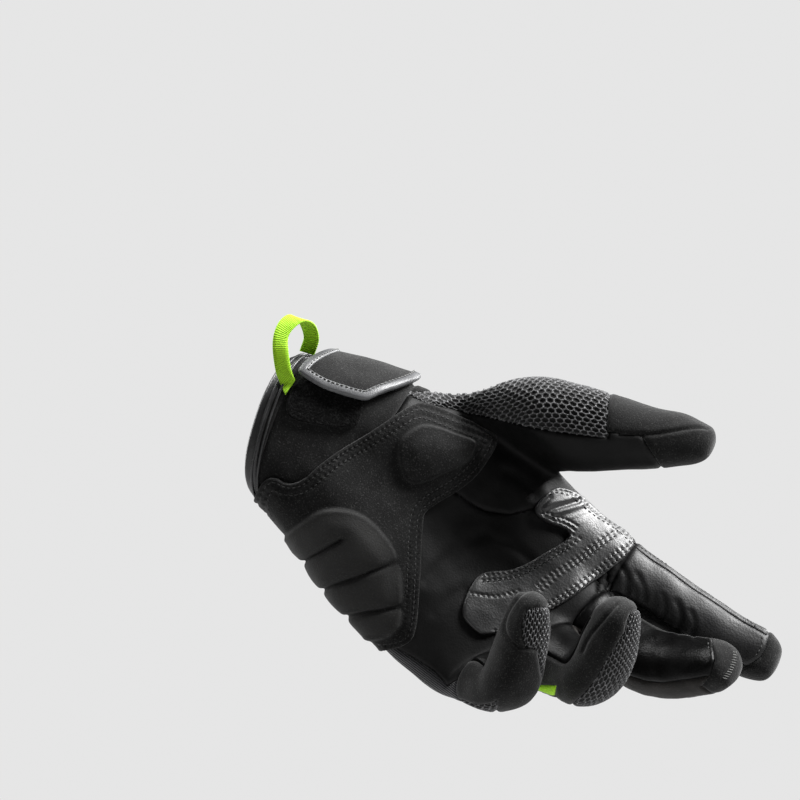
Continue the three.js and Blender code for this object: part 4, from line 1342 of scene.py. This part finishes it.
def skin_normals(points):
    """The skin's own smooth normals near each point, the nearest weighing most."""
    out = np.zeros_like(points)
    for i, p in enumerate(points):
        for _, j, gap in skin_finder.find_n(p, NEAR_POINTS):
            out[i] += skin.normals[j] / (gap + NEAR_SOFTENING)
    return unit(out)


def laid_sheet(outline, backmost, height, thick):
    """Points and faces of a sheet whose top is height(points) above the skin, with a rounded rim."""
    bm = patch_bmesh(outline, backmost)
    bm.verts.index_update()
    points = bm_points(bm)
    normals = skin_normals(points)
    depth = np.where([v.is_boundary for v in bm.verts], 0, inside_depth(front(points), outline))
    rounding = 1 - np.sqrt(1 - (1 - np.clip(depth / RIM_WIDE, 0, 1)) ** 2)
    lifted = height(points) + folds(points, normals) - RIM_LOW * thick * rounding
    top = points + normals * lifted[:, None]
    faces = [[v.index for v in f.verts] for f in bm.faces]
    low = {}
    foot = []
    for e in bm.edges:
        if not e.is_boundary:
            continue
        loop = e.link_loops[0]
        a, b = loop.vert.index, loop.link_loop_next.vert.index
        for i in (a, b):
            if i not in low:
                low[i] = len(top) + len(foot)
                foot.append(points[i] - normals[i] * FOOT_DEEP)
        faces.append([b, a, low[a], low[b]])
    bm.free()
    return np.vstack([top, np.array(foot)]), faces


def row_sink(points, lines, deep, wide, between):
    """How deep rows of stitches pull a sheet in: deep at a stitch's ends, a share of it in the middle."""
    sink = np.zeros(len(points))
    for line, closed in lines:
        gap, run = along_line(front(points), line, closed=closed)
        pits = between + (1 - between) * (0.5 + 0.5 * np.cos(2 * np.pi * run / STITCH_PITCH)) ** 1.5
        sink = np.maximum(sink, deep * pits * np.exp(-(gap / wide) ** 2))
    return sink


print("sheet helpers ready")

# %% [markdown]
# ## Rows of stitches
#
# A lock stitch shows as short threads, end to end, each dipping into the leather at both ends. A texture
# would look flat on so thick a thread, so every stitch is a capsule of five small rings, and all stitches of
# one patch are one piece. Their seats are found by a ray from the front, or from the camera's eye.

# %% Rows
# Rays start well in front of the glove
RAYS_FROM = -150


def offset_outline(outline, depth):
    """A closed outline moved inwards by a distance in millimetres."""
    points = np.array(outline)
    step = np.roll(points, -1, axis=0) - np.roll(points, 1, axis=0)
    step /= np.linalg.norm(step, axis=1, keepdims=True)
    area = np.sum(points[:, 0] * np.roll(points[:, 1], -1) - np.roll(points[:, 0], -1) * points[:, 1])
    left = np.stack([-step[:, 1], step[:, 0]], axis=1) * np.sign(area)
    return [tuple(p) for p in points + left * depth]


def spaced(line, pitch, closed=False):
    """Points at an even pitch along a line of any dimension."""
    corners = np.array(line, dtype=float)
    if closed:
        corners = np.vstack([corners, corners[:1]])
    run = run_along(corners)
    count = max(2, int(run[-1] / pitch))
    at = np.linspace(0, run[-1], count + 1)
    return np.stack([np.interp(at, run, corners[:, i]) for i in range(corners.shape[1])], axis=1)


def tree_of(points, faces):
    return BVHTree.FromPolygons([tuple(p) for p in points], [tuple(f) for f in faces])


def seat_on(tree, start, direction, backmost):
    """Where a ray meets the surface and its normal there, or None if that is too far back."""
    place, normal, _, _ = tree.ray_cast(start, direction)
    if place is None or place.y > backmost:
        return None
    return np.array(place), np.array(normal) * (-1 if normal.y > 0 else 1)


def on_front(tree, line, pitch, closed=False, backmost=4):
    """Seats of the evenly spaced points of a line of the front view."""
    straight = Vector((0, 1, 0))
    return [seat_on(tree, Vector((x, RAYS_FROM, z)), straight, backmost)
            for x, z in spaced(line, pitch, closed)]


def as_seen(tree, line, pitch, backmost=25):
    """Seats of the evenly spaced points of a line as the camera sees it."""
    eye = Vector((FRAME_CENTRE[0], -EYE_AWAY, FRAME_CENTRE[1]))
    return [seat_on(tree, eye, (Vector((x, 0, z)) - eye).normalized(), backmost)
            for x, z in spaced(line, pitch)]


print("a stitch every", STITCH_PITCH, "mm")

# %% Stitches
# A capsule's rings: place along the stitch, share of its width, rise over the surface in millimetres
STITCH_RINGS = ((-1.0, 0.35, -0.35), (-0.6, 0.85, 0.02), (0.0, 1.0, 0.12), (0.6, 0.85, 0.02),
                (1.0, 0.35, -0.35))
STITCH_SIDES = 6
SHORTEST_STITCH, LONGEST_STITCH = 0.5, 4.5


class Stitches:
    """Collects small thread capsules and makes them into one piece."""

    def __init__(self):
        self.points, self.faces = [], []

    def add(self, a, b, normal, fill=0.78, wide=0.27):
        along = b - a
        length = np.linalg.norm(along)
        if length < SHORTEST_STITCH:
            return
        along = along / length
        side = np.cross(normal, along)
        side /= max(np.linalg.norm(side), 1e-6)
        up = np.cross(along, side)
        middle = (a + b) / 2
        start = len(self.points)
        for t, swell, rise in STITCH_RINGS:
            centre = middle + along * (t * length * fill / 2) + up * rise
            for i in range(STITCH_SIDES):
                angle = 2 * math.pi * i / STITCH_SIDES
                self.points.append(centre + (side * math.cos(angle) + up * math.sin(angle)) * wide * swell)
        for ring in range(len(STITCH_RINGS) - 1):
            for i in range(STITCH_SIDES):
                n = (i + 1) % STITCH_SIDES
                low, high = start + ring * STITCH_SIDES, start + (ring + 1) * STITCH_SIDES
                self.faces.append([low + i, low + n, high + n, high + i])
        self.faces.append([start + i for i in reversed(range(STITCH_SIDES))])
        last = start + (len(STITCH_RINGS) - 1) * STITCH_SIDES
        self.faces.append([last + i for i in range(STITCH_SIDES)])

    def row(self, seats, **how):
        for first, second in zip(seats[:-1], seats[1:]):
            if first is None or second is None:
                continue
            if np.linalg.norm(first[0] - second[0]) <= LONGEST_STITCH:
                self.add(first[0], second[0], first[1] + second[1], **how)

    def finish(self, name, look="thread"):
        make_piece(name, self.points, self.faces, look)
        print(name + ":", len(self.faces) // (STITCH_SIDES * (len(STITCH_RINGS) - 1) + 2), "stitches")

# %% [markdown]
# ## Padded overlay
#
# A suede sheet from the cuff over the thumb mound and down the palm, with a pad on the thumb mound and a
# ribbed pad on the heel of the hand, and two rows of stitches inside its edge. The foam under the pads only
# shows by its height, so one height over the skin makes sheet, pads, grooves and the pull of the stitches.

# %% Overlay outlines
OVERLAY_THICK, THENAR_PAD, HEEL_PAD = 1.5, 2.6, 2.8
OVERLAY_BACK = 2
OVERLAY_OUTLINE = softened([
    (-1, -20), (10, -27), (25, -13), (44, -2), (59, 8), (65, 9), (80, 3), (96, -3), (97, -6),
    (94, -13), (85, -25), (66, -36), (64, -41), (63, -75), (62, -86), (60, -92), (53, -95),
    (38, -96), (20, -80), (8, -62), (-4, -44), (-8, -32)])
THENAR_OUTLINE = softened([
    (53, -7), (59.5, -1.5), (64, 0), (70.5, -1.3), (79, -4.8), (87, -7.5), (86, -12.5), (83, -17),
    (72, -21.8), (62, -26), (56, -23.5), (53.5, -15)])
HEEL_OUTLINE = softened([
    (6, -45), (20, -35.5), (28, -34.5), (37, -36.5), (44.5, -42.5), (50, -49), (54, -55), (57, -66),
    (57, -90), (38, -92), (15, -78), (0, -60)])
HEEL_GROOVES = [((10, -60.5), (30.5, -48.5)), ((18, -71), (54, -58)), ((28, -80.5), (56, -77))]
GROOVE_DEEP, GROOVE_WIDE, GROOVE_BANKS = 2.8, 1.1, 4.5
ROWS_IN = (2.0, 5.2)
PADS = (THENAR_OUTLINE, HEEL_OUTLINE)
overlay_rows = [(offset_outline(OVERLAY_OUTLINE, depth), True) for depth in ROWS_IN]
print("overlay outline of", len(OVERLAY_OUTLINE), "points")

# %% Overlay
# A pad rises by most of its height in a steep slope at its edge, and by the rest over its dome
PAD_STEEP, PAD_DOME, DOME_WIDE = 0.72, 0.28, 9


def one_pad(flat, outline, high, slope):
    depth = inside_depth(flat, outline)
    steep = PAD_STEEP * smooth_step(depth, -0.3, slope)
    return high * (steep + PAD_DOME * smooth_step(depth, slope, DOME_WIDE))


def pad_height(points):
    flat = front(points)
    pads = one_pad(flat, THENAR_OUTLINE, THENAR_PAD, 1.8)
    pads = np.maximum(pads, one_pad(flat, HEEL_OUTLINE, HEEL_PAD, 2.4))
    for groove in HEEL_GROOVES:
        gap, _ = along_line(flat, groove)
        sunk = GROOVE_DEEP * (0.5 * np.exp(-(gap / GROOVE_WIDE) ** 2) + 0.5 * np.exp(-gap / GROOVE_BANKS))
        pads -= np.minimum(pads, sunk)
    return pads


def overlay_height(points):
    rows = row_sink(points, overlay_rows, deep=0.5, wide=0.75, between=0.3)
    for pad in PADS:
        rows *= inside_depth(front(points), pad) < -0.5
    return LIFT + OVERLAY_THICK + pad_height(points) - rows


overlay_points, overlay_faces = laid_sheet(OVERLAY_OUTLINE, OVERLAY_BACK, overlay_height, OVERLAY_THICK)
# Painted highlight: the heel pad is painted lighter the higher it rises, as if lit from above.
painted_pad_highlight = np.clip(pad_height(overlay_points) / HEEL_PAD, 0, 1)
painted_pad_highlight *= inside_depth(front(overlay_points), HEEL_OUTLINE) > 0
overlay = make_piece("padded_palm_overlay", overlay_points, overlay_faces, "dark_suede",
                     ["palm_overlay"], {"painted_pad_highlight": painted_pad_highlight})
print("overlay:", len(overlay_points), "points")

# %% Overlay stitches
# The rows stop this far before a pad
STITCHES_OFF_PAD = 0.8


def off_the_pads(seat):
    place = front(seat[0][None])
    return max(inside_depth(place, pad)[0] for pad in PADS) <= -STITCHES_OFF_PAD


overlay_tree = tree_of(overlay_points, overlay_faces)
threads = Stitches()
for line, closed in overlay_rows:
    seats = on_front(overlay_tree, line, STITCH_PITCH, closed)
    threads.row([seat if seat and off_the_pads(seat) else None for seat in seats])
threads.finish("overlay_stitches")

# %% [markdown]
# ## Grip patch
#
# A second layer of leather over the finger roots, with a lobe in the crotch of the thumb, takes the wear of
# the handlebar's grip. It is a laid sheet like the overlay, thinner, with single and double rows of
# stitches that pull it in.

# %% Grip patch lines
PATCH_THICK, GRIP_BACK = 1.1, 8
GRIP_OUTLINE = softened([
    (122, -27.2), (118.6, -29), (115, -32), (112.4, -35.8), (113.4, -39), (118, -42), (124.5, -44.2),
    (127.4, -46), (126.5, -49.5), (119, -53.5), (111, -58.5), (102, -62.5), (89.5, -62.5), (84, -70),
    (80.5, -80), (85, -86), (92, -91), (121.9, -78.4), (141.6, -64.6), (157, -53), (150.8, -45), (145, -41),
    (138.3, -37), (132.2, -31.2), (127.5, -28.4)])
GRIP_ROWS = [(softened(line, closed=False), False) for line in (
    [(128.6, -47.6), (123, -52.6), (117, -55.6), (109.2, -60.6), (102, -63.8), (90, -64.6)],
    [(131.5, -49), (124.5, -54.6), (118, -57.8), (110.4, -62.6), (103, -65.8), (89.4, -66.8)],
    [(147.1, -45.2), (137.3, -52.3), (132.3, -56.2), (121.9, -62.8), (117, -66), (113.7, -69.1)],
    [(148.4, -47.1), (138, -54.4), (131, -59.5), (122.5, -64.8), (115, -71)],
    [(153.7, -51.5), (144.9, -56.8), (140.6, -61.2), (131.2, -68.2), (120.3, -75.9), (108, -82), (95, -88)],
    [(155.2, -53.1), (148, -58.1), (141.8, -63), (133.6, -69), (121.4, -77.6), (109, -83.9), (96, -89.8)],
    [(114.2, -38.4), (118.6, -41), (125.2, -43), (129, -45.4)],
    [(115.4, -36.8), (119.2, -39.2), (126, -41.2), (130.6, -44)],
    [(119, -30), (122, -28.5), (127, -29.8), (131.6, -32.4), (137.6, -38.4), (144, -42.2), (149.8, -46.2),
     (155, -51)],
    [(85, -72), (96, -74), (106, -71)],
)]
print(len(GRIP_ROWS), "rows on the grip patch")

# %% Grip patch
def grip_height(points):
    return LIFT + PATCH_THICK - row_sink(points, GRIP_ROWS, deep=0.7, wide=0.55, between=0.15)


grip_points, grip_faces = laid_sheet(GRIP_OUTLINE, GRIP_BACK, grip_height, PATCH_THICK)
make_piece("finger_root_patch", grip_points, grip_faces, "patch_leather", ["grip_patch"])
grip_tree = tree_of(grip_points, grip_faces)
threads = Stitches()
for line, closed in GRIP_ROWS:
    threads.row(on_front(grip_tree, line, STITCH_PITCH, closed, backmost=14))
threads.finish("patch_stitches")

# %% [markdown]
# ## Finger stitches
#
# One row runs along the index finger beside its seam and round its cap. The middle finger's cap is closed
# with pale ticks across its seam: each joins a point of an outer line to one of an inner line.

# %% Finger stitches
INDEX_ROW = ((138, -35.5), (150, -46.8), (165, -57), (183, -68.2), (196, -77.8), (205.5, -84.2), (210.2, -89),
             (211.2, -92.5), (210, -96.4), (207.5, -99.6))
MIDDLE_TICKS = (((200.4, -98), (200.4, -101.2), (198.8, -105.6), (195.6, -110.2)),
                ((197.6, -97.4), (197.6, -100.2), (196.2, -104), (193.2, -108.4)))
MIDDLE_ROW = ((187.4, -93), (187.6, -96), (188.2, -100))
INDEX_PITCH, MIDDLE_PITCH, TICK_PITCH = 2.0, 1.6, 1.1

dressed_tree = tree_of(dressed.points, dressed.quads)
threads = Stitches()
threads.row(as_seen(dressed_tree, softened(INDEX_ROW, closed=False), INDEX_PITCH))
threads.row(as_seen(dressed_tree, MIDDLE_ROW, MIDDLE_PITCH))
threads.finish("finger_stitches")
threads = Stitches()
outer, inner = (as_seen(dressed_tree, softened(line, closed=False), TICK_PITCH) for line in MIDDLE_TICKS)
for pair in zip(outer, inner):
    threads.row(list(pair), fill=0.95, wide=0.2)
threads.finish("middle_tip_stitches", "pale_thread")

# %% [markdown]
# ## Loop pile
#
# The fuzzy half of the hook-and-loop closure is sewn to the cuff where the strap's tab grips it. It is the
# darkest thing on the glove. Its surface is a laid sheet, roughened by noise as fine as its loops.

# %% Loop pile
LOOP_BACK = -6
PILE_ROUGH, PILE_SIZE = 0.35, 1.1
LOOP_OUTLINE = softened([
    (6, 8), (8, 15), (13, 20), (20, 26), (38, 26), (39, 14), (38.5, 2), (35, -1), (26, -1), (8, 2)])


def pile_height(points):
    return LIFT + PATCH_THICK + PILE_ROUGH * soft_noise(points, PILE_SIZE, 5)


pile_points, pile_faces = laid_sheet(LOOP_OUTLINE, LOOP_BACK, pile_height, PATCH_THICK)
make_piece("loop_pile_patch", pile_points, pile_faces, "fuzz", ["loop_patch"])
print("loop pile:", len(pile_points), "points")

# %% [markdown]
# ## Bands and bindings
#
# Raw edges of leather are wrapped in a folded tape. It is a flat section, rounded over the edge, swept along
# the edge as a closed loop: a bevelled curve couldn't keep the fold turned to the surface.

# %% Edge loops
def chained(edges):
    """The longest closed loop of points in a set of directed edges."""
    following = dict(edges)
    best = []
    left = set(following)
    while left:
        start = min(left)
        loop = [start]
        left.discard(start)
        while following[loop[-1]] != start:
            loop.append(following[loop[-1]])
            left.discard(loop[-1])
        if len(loop) > len(best):
            best = loop
    return best


def even_loop(points, normals, pitch):
    """Points and normals at an even pitch along a closed loop."""
    both = np.hstack([points, normals])
    both = np.vstack([both, both[:1]])
    run = run_along(both[:, :3])
    at = np.linspace(0, run[-1], int(run[-1] / pitch), endpoint=False)
    out = np.stack([np.interp(at, run, both[:, i]) for i in range(6)], axis=1)
    return out[:, :3], unit(out[:, 3:])


def smooth_loop(values, passes):
    for _ in range(passes):
        values = (np.roll(values, 1, axis=0) + 2 * values + np.roll(values, -1, axis=0)) / 4
    return values


def inward_from(loop, normals):
    """Across the loop, along the surface, away from the edge."""
    return np.cross(normals, np.roll(loop, -1, axis=0) - np.roll(loop, 1, axis=0))


print("edge helpers ready")

# %% Tape
def taped(loop, normals, inward, section):
    """Sweeps a closed section, given as distance inwards and height, along a closed loop."""
    count, sides = len(loop), len(section)
    points = np.vstack([loop + inward * b + normals * h for b, h in section])
    faces = []
    for s in range(sides):
        for i in range(count):
            n, t = (i + 1) % count, (s + 1) % sides
            faces.append([s * count + i, s * count + n, t * count + n, t * count + i])
    return points, faces


def tape_section(width, half, proud):
    """A folded tape round a sheet of this half thickness: flat above and below, round at the edge."""
    flat = [(width, half + 0.05), (width - 0.3, half + proud * 0.9), (width / 2, half + proud * 1.15)]
    section = list(flat)
    reach = half + proud
    for step in range(7):
        angle = math.pi / 2 - math.pi * step / 6
        section.append((0.6 - reach * math.cos(angle) * 0.8, reach * math.sin(angle)))
    return section + [(inwards, -high) for inwards, high in reversed(flat)]


print("tape sections have", len(tape_section(5, 1, 0.5)), "points")

# %% [markdown]
# ## Wrist strap
#
# A band of suede comes from the back round the thumb side and ends in a free tab that lies on the loop pile.
# It is a grid of points seated on the skin, at angles round the wrist, and subdivided, so that it bends with
# the wrist. Modelled flat and wrapped by a modifier, its tab would lie too close.

# %% Strap
# Angle round the wrist in degrees, and the strap's near and far edge as places between the hand's sections
STRAP_STEPS = (
    (-58, 1.19, 2.44), (-54, 1.18, 2.5), (-48, 1.19, 2.62), (-40, 1.22, 2.78), (-26, 1.29, 2.96),
    (-10, 1.38, 3.0), (6, 1.38, 2.94), (24, 1.36, 2.9), (46, 1.34, 2.86), (72, 1.34, 2.86),
    (98, 1.34, 2.86), (122, 1.34, 2.86), (146, 1.34, 2.86))
STRAP_ACROSS = (0, 0.04, 0.36, 0.64, 0.9, 1)
STRAP_THICK, STRAP_LIFT_FRONT, STRAP_LIFT_BACK, STRAP_TAB_RISE = 2.0, 3.4, 1.5, 1.2
# The suede is thinner by this on each side, and this uneven
ROOM_FOR_TAPE, STRAP_UNEVEN, CAGE_POINTS = 0.2, 0.25, 400
# How far each column of the free end runs on beyond the first row, degrees
TAB_RUNS_ON = (-5.5, -4.6, 2.5, 4, 2.5, 1.6)
skin_tree = tree_of(skin.points, skin.quads)


def body_between(at):
    """A hand section between two of the table's."""
    low = min(int(at), len(BODY) - 2)
    first, second = BODY[low], BODY[low + 1]
    return {key: first[key] + (second[key] - first[key]) * (at - low) for key in BODY_COLUMNS}


def on_body(at, degrees):
    face = (degrees > 0) - (degrees < 0)
    return body_point(body_between(at), math.cos(math.radians(degrees)), face)


def on_skin(point):
    """The nearest place on the skin and its normal."""
    place, _, index, _ = skin_tree.find_nearest(point)
    return place, Vector(skin.normals[skin.quads[index]].mean(axis=0)).normalized()


def share(value, low, high):
    """How far a value is on its way from low to high, from 0 to 1."""
    return float(smooth_step(np.array(value), low, high))


strap = bmesh.new()
grid = []
for step, near, far in STRAP_STEPS:
    row = []
    for column, t in enumerate(STRAP_ACROSS):
        angle = step - TAB_RUNS_ON[column] * share(-step, 30, 52)
        place, normal = on_skin(on_body(near + (far - near) * t, angle))
        lift = STRAP_LIFT_FRONT + (STRAP_LIFT_BACK - STRAP_LIFT_FRONT) * share(angle, 0, 60)
        lift += STRAP_TAB_RISE * share(-angle, 30, 58)
        row.append(strap.verts.new((place + normal * (lift + STRAP_THICK / 2)) * MM))
    grid.append(row)
for u in range(len(grid) - 1):
    for v in range(len(STRAP_ACROSS) - 1):
        strap.faces.new((grid[u][v], grid[u][v + 1], grid[u + 1][v + 1], grid[u + 1][v]))
band = skin_of(subdivided(strap, SKIN_LEVELS))
strap.free()
# The skin's first points are the cage's, all over the hand. The band's normals point away from their middle.
outwards = band.points.mean(axis=0) - skin.points[:CAGE_POINTS].mean(axis=0)
if np.dot(band.normals.mean(axis=0), outwards) < 0:
    band = Skin(band.points, band.quads[:, ::-1], band.panel)
band = band.moved(band.normals * (STRAP_UNEVEN * soft_noise(band.points, 9, 3))[:, None])
half = STRAP_THICK / 2 - ROOM_FOR_TAPE
points, faces = wall(band.points + band.normals * half, band.points - band.normals * half, band.quads)
make_piece("wrist_strap", points, faces, "suede", ["strap"])
print("strap:", len(points), "points")

# %% Strap binding
# Pitch of the tape's points, its width and how proud it stands. Its stitches lie this far in and up, and
# each spans this many points.
STRAP_TAPE_PITCH, STRAP_TAPE_WIDE, STRAP_TAPE_PROUD = 0.7, 3.7, 0.6
TAPE_STITCH_IN, TAPE_STITCH_UP, TAPE_STITCH_SPAN = 3.0, 0.72, 3

rim = chained(rim_edges(band.quads))
loop, normals = even_loop(band.points[rim], band.normals[rim], STRAP_TAPE_PITCH)
loop, normals = smooth_loop(loop, 3), unit(smooth_loop(normals, 6))
inward_of = unit(inward_from(loop, normals))
points, faces = taped(loop, normals, inward_of, tape_section(STRAP_TAPE_WIDE, half, STRAP_TAPE_PROUD))
# Its light colour is a painted highlight along the tape's fold.
make_piece("strap_binding_tape", points, faces, "strap_tape_painted_highlight", ["strap_binding"])
threads = Stitches()
row = loop + inward_of * TAPE_STITCH_IN + normals * (half + TAPE_STITCH_UP)
for i in range(0, len(loop) - TAPE_STITCH_SPAN, TAPE_STITCH_SPAN):
    threads.add(row[i], row[i + TAPE_STITCH_SPAN], normals[i], fill=0.85)
threads.finish("strap_stitches", "pale_thread")

# %% [markdown]
# ## Cuff binding
#
# The wrist opening has the same kind of tape, wider and of smooth leather, with two thin pipings beside it.
# Here the edge is the whole wall, so the loop runs in the middle of its thickness. The binding's own bit of
# wall stays below the tape.

# %% Cuff binding
CUFF_TAPE_PITCH, CUFF_TAPE_WIDE, CUFF_TAPE_PROUD = 0.8, 5.2, 0.7
WALL_UNDER_TAPE = 0.3
# Piece: how far in from the edge it lies and how high
PIPINGS = {"cuff_piping_outer": (5.5, 2.0), "cuff_piping_inner": (2.9, 2.2)}
PIPING_RADIUS, PIPING_SIDES = 0.55, 8

rim = chained(rim_edges(skin.quads))
loop, normals = even_loop(skin.points[rim], skin.normals[rim], CUFF_TAPE_PITCH)
loop = smooth_loop(loop - normals * WALL / 2, 4)
normals = unit(smooth_loop(normals, 8))
inward_of = unit(smooth_loop(inward_from(loop, normals), 10))
points, faces = taped(loop, normals, inward_of, tape_section(CUFF_TAPE_WIDE, WALL / 2, CUFF_TAPE_PROUD))
make_piece("cuff_edge_tape", points, faces, "piping", ["cuff_binding"])
old, quads = skin.part(skin.panel == PANELS.index("cuff_binding"))
points, faces = wall(skin.points[old] - skin.normals[old] * WALL_UNDER_TAPE, inner_points[old], quads)
make_piece("cuff_edge_wall", points, faces, "suede", ["cuff_binding"])

angles = [2 * math.pi * s / PIPING_SIDES for s in range(PIPING_SIDES)]
circle = [(PIPING_RADIUS * math.cos(angle), PIPING_RADIUS * math.sin(angle)) for angle in angles]
for name, (away, height) in PIPINGS.items():
    points, faces = taped(loop + inward_of * away + normals * height, normals, inward_of, circle)
    make_piece(name, points, faces, "piping")
print("cuff edge:", len(loop), "points round")

# %% [markdown]
# ## Pull loop
#
# A loop of ribbed ribbon helps to pull the glove on. Both ends are sewn to the cuff's edge and it stands up
# between them with a slight turn. The ribbon is swept along a smooth path: its thickness follows the ribs,
# which a texture alone wouldn't give at the edges.

# %% Pull loop path
# Points of the path in millimetres. Those that are seated are moved onto the skin.
PULL_PATH = ((8.6, -19, 13), (7.2, -20, 17), (5.2, -24, 24), (4, -25, 35.5), (6, -23, 42),
             (10.5, -18, 45.5), (15, -12, 43.5), (17, -7.5, 37.5), (15, -5, 30))
PULL_SEATED = (0, 1, 8)
PULL_ACROSS, PULL_TURN, PULL_SLANT = np.array((0.95, 0, -0.3)), np.array((-0.1, 0.35, 0)), 4.5
PULL_SEAT_HIGH, PULL_STEP = 2.2, 0.14
# Where the ribbon turns most and over which length, and how long its slanted end is
TURN_AT, TURN_REACH, SLANT_RUN = 27, 8, 22

stations = []
for i, point in enumerate(PULL_PATH):
    if i in PULL_SEATED:
        place, normal = on_skin(Vector(point))
        stations.append(place + normal * PULL_SEAT_HIGH)
    else:
        stations.append(Vector(point))
path = spaced(smooth_path(stations, 12), PULL_STEP)
along = unit(np.gradient(path, axis=0))
run = np.arange(len(path)) * PULL_STEP
turned = PULL_ACROSS + np.exp(-((run - TURN_AT) / TURN_REACH) ** 2)[:, None] * PULL_TURN
side = unit(turned - along * np.sum(along * turned, axis=1)[:, None])
up = np.cross(along, side)
print("pull loop:", round(run[-1]), "mm of ribbon")

# %% Ribbon
PULL_WIDE, PULL_THICK, RIB_PITCH, RIB_DEEP = 6.7, 1.1, 0.85, 0.22
# The upper half of the ribbon's section, as shares of half its width and of half its thickness
RIBBON_TOP = [(-1, 0.35), (-0.96, 0.9), (-0.5, 1), (0, 1), (0.5, 1), (0.96, 0.9), (1, 0.35)]

section = RIBBON_TOP + [(x, -y) for x, y in reversed(RIBBON_TOP)]
rib = 0.5 + 0.5 * np.cos(2 * np.pi * run / RIB_PITCH)
rows, ribs = [], []
for x, y in section:
    # The end that is tucked under the edge is cut on a slant
    place = run + PULL_SLANT * (0.5 + 0.5 * x) * np.clip(1 - run / SLANT_RUN, 0, 1)
    ribs.append(np.interp(place, run, rib))
    high = y * (PULL_THICK / 2 - RIB_DEEP * (1 - ribs[-1]))
    row = path + side * (x * PULL_WIDE / 2) + up * high[:, None]
    rows.append(np.column_stack([np.interp(place, run, row[:, k]) for k in range(3)]))
points = np.vstack(rows)
n, sides = len(path), len(section)
faces = []
for s in range(sides):
    first, second = s * n, (s + 1) % sides * n
    faces += [[first + i, first + i + 1, second + i + 1, second + i] for i in range(n - 1)]
faces += [[s * n for s in range(sides)], [s * n + n - 1 for s in reversed(range(sides))]]
# The rib attribute also paints the grooves darker than the ribs' tops: painted shade.
make_piece("pull_loop_ribbon", points, faces, "lime_ribbon", ["pull_loop"],
           {"rib": np.concatenate(ribs)})
print("ribbon:", len(points), "points")
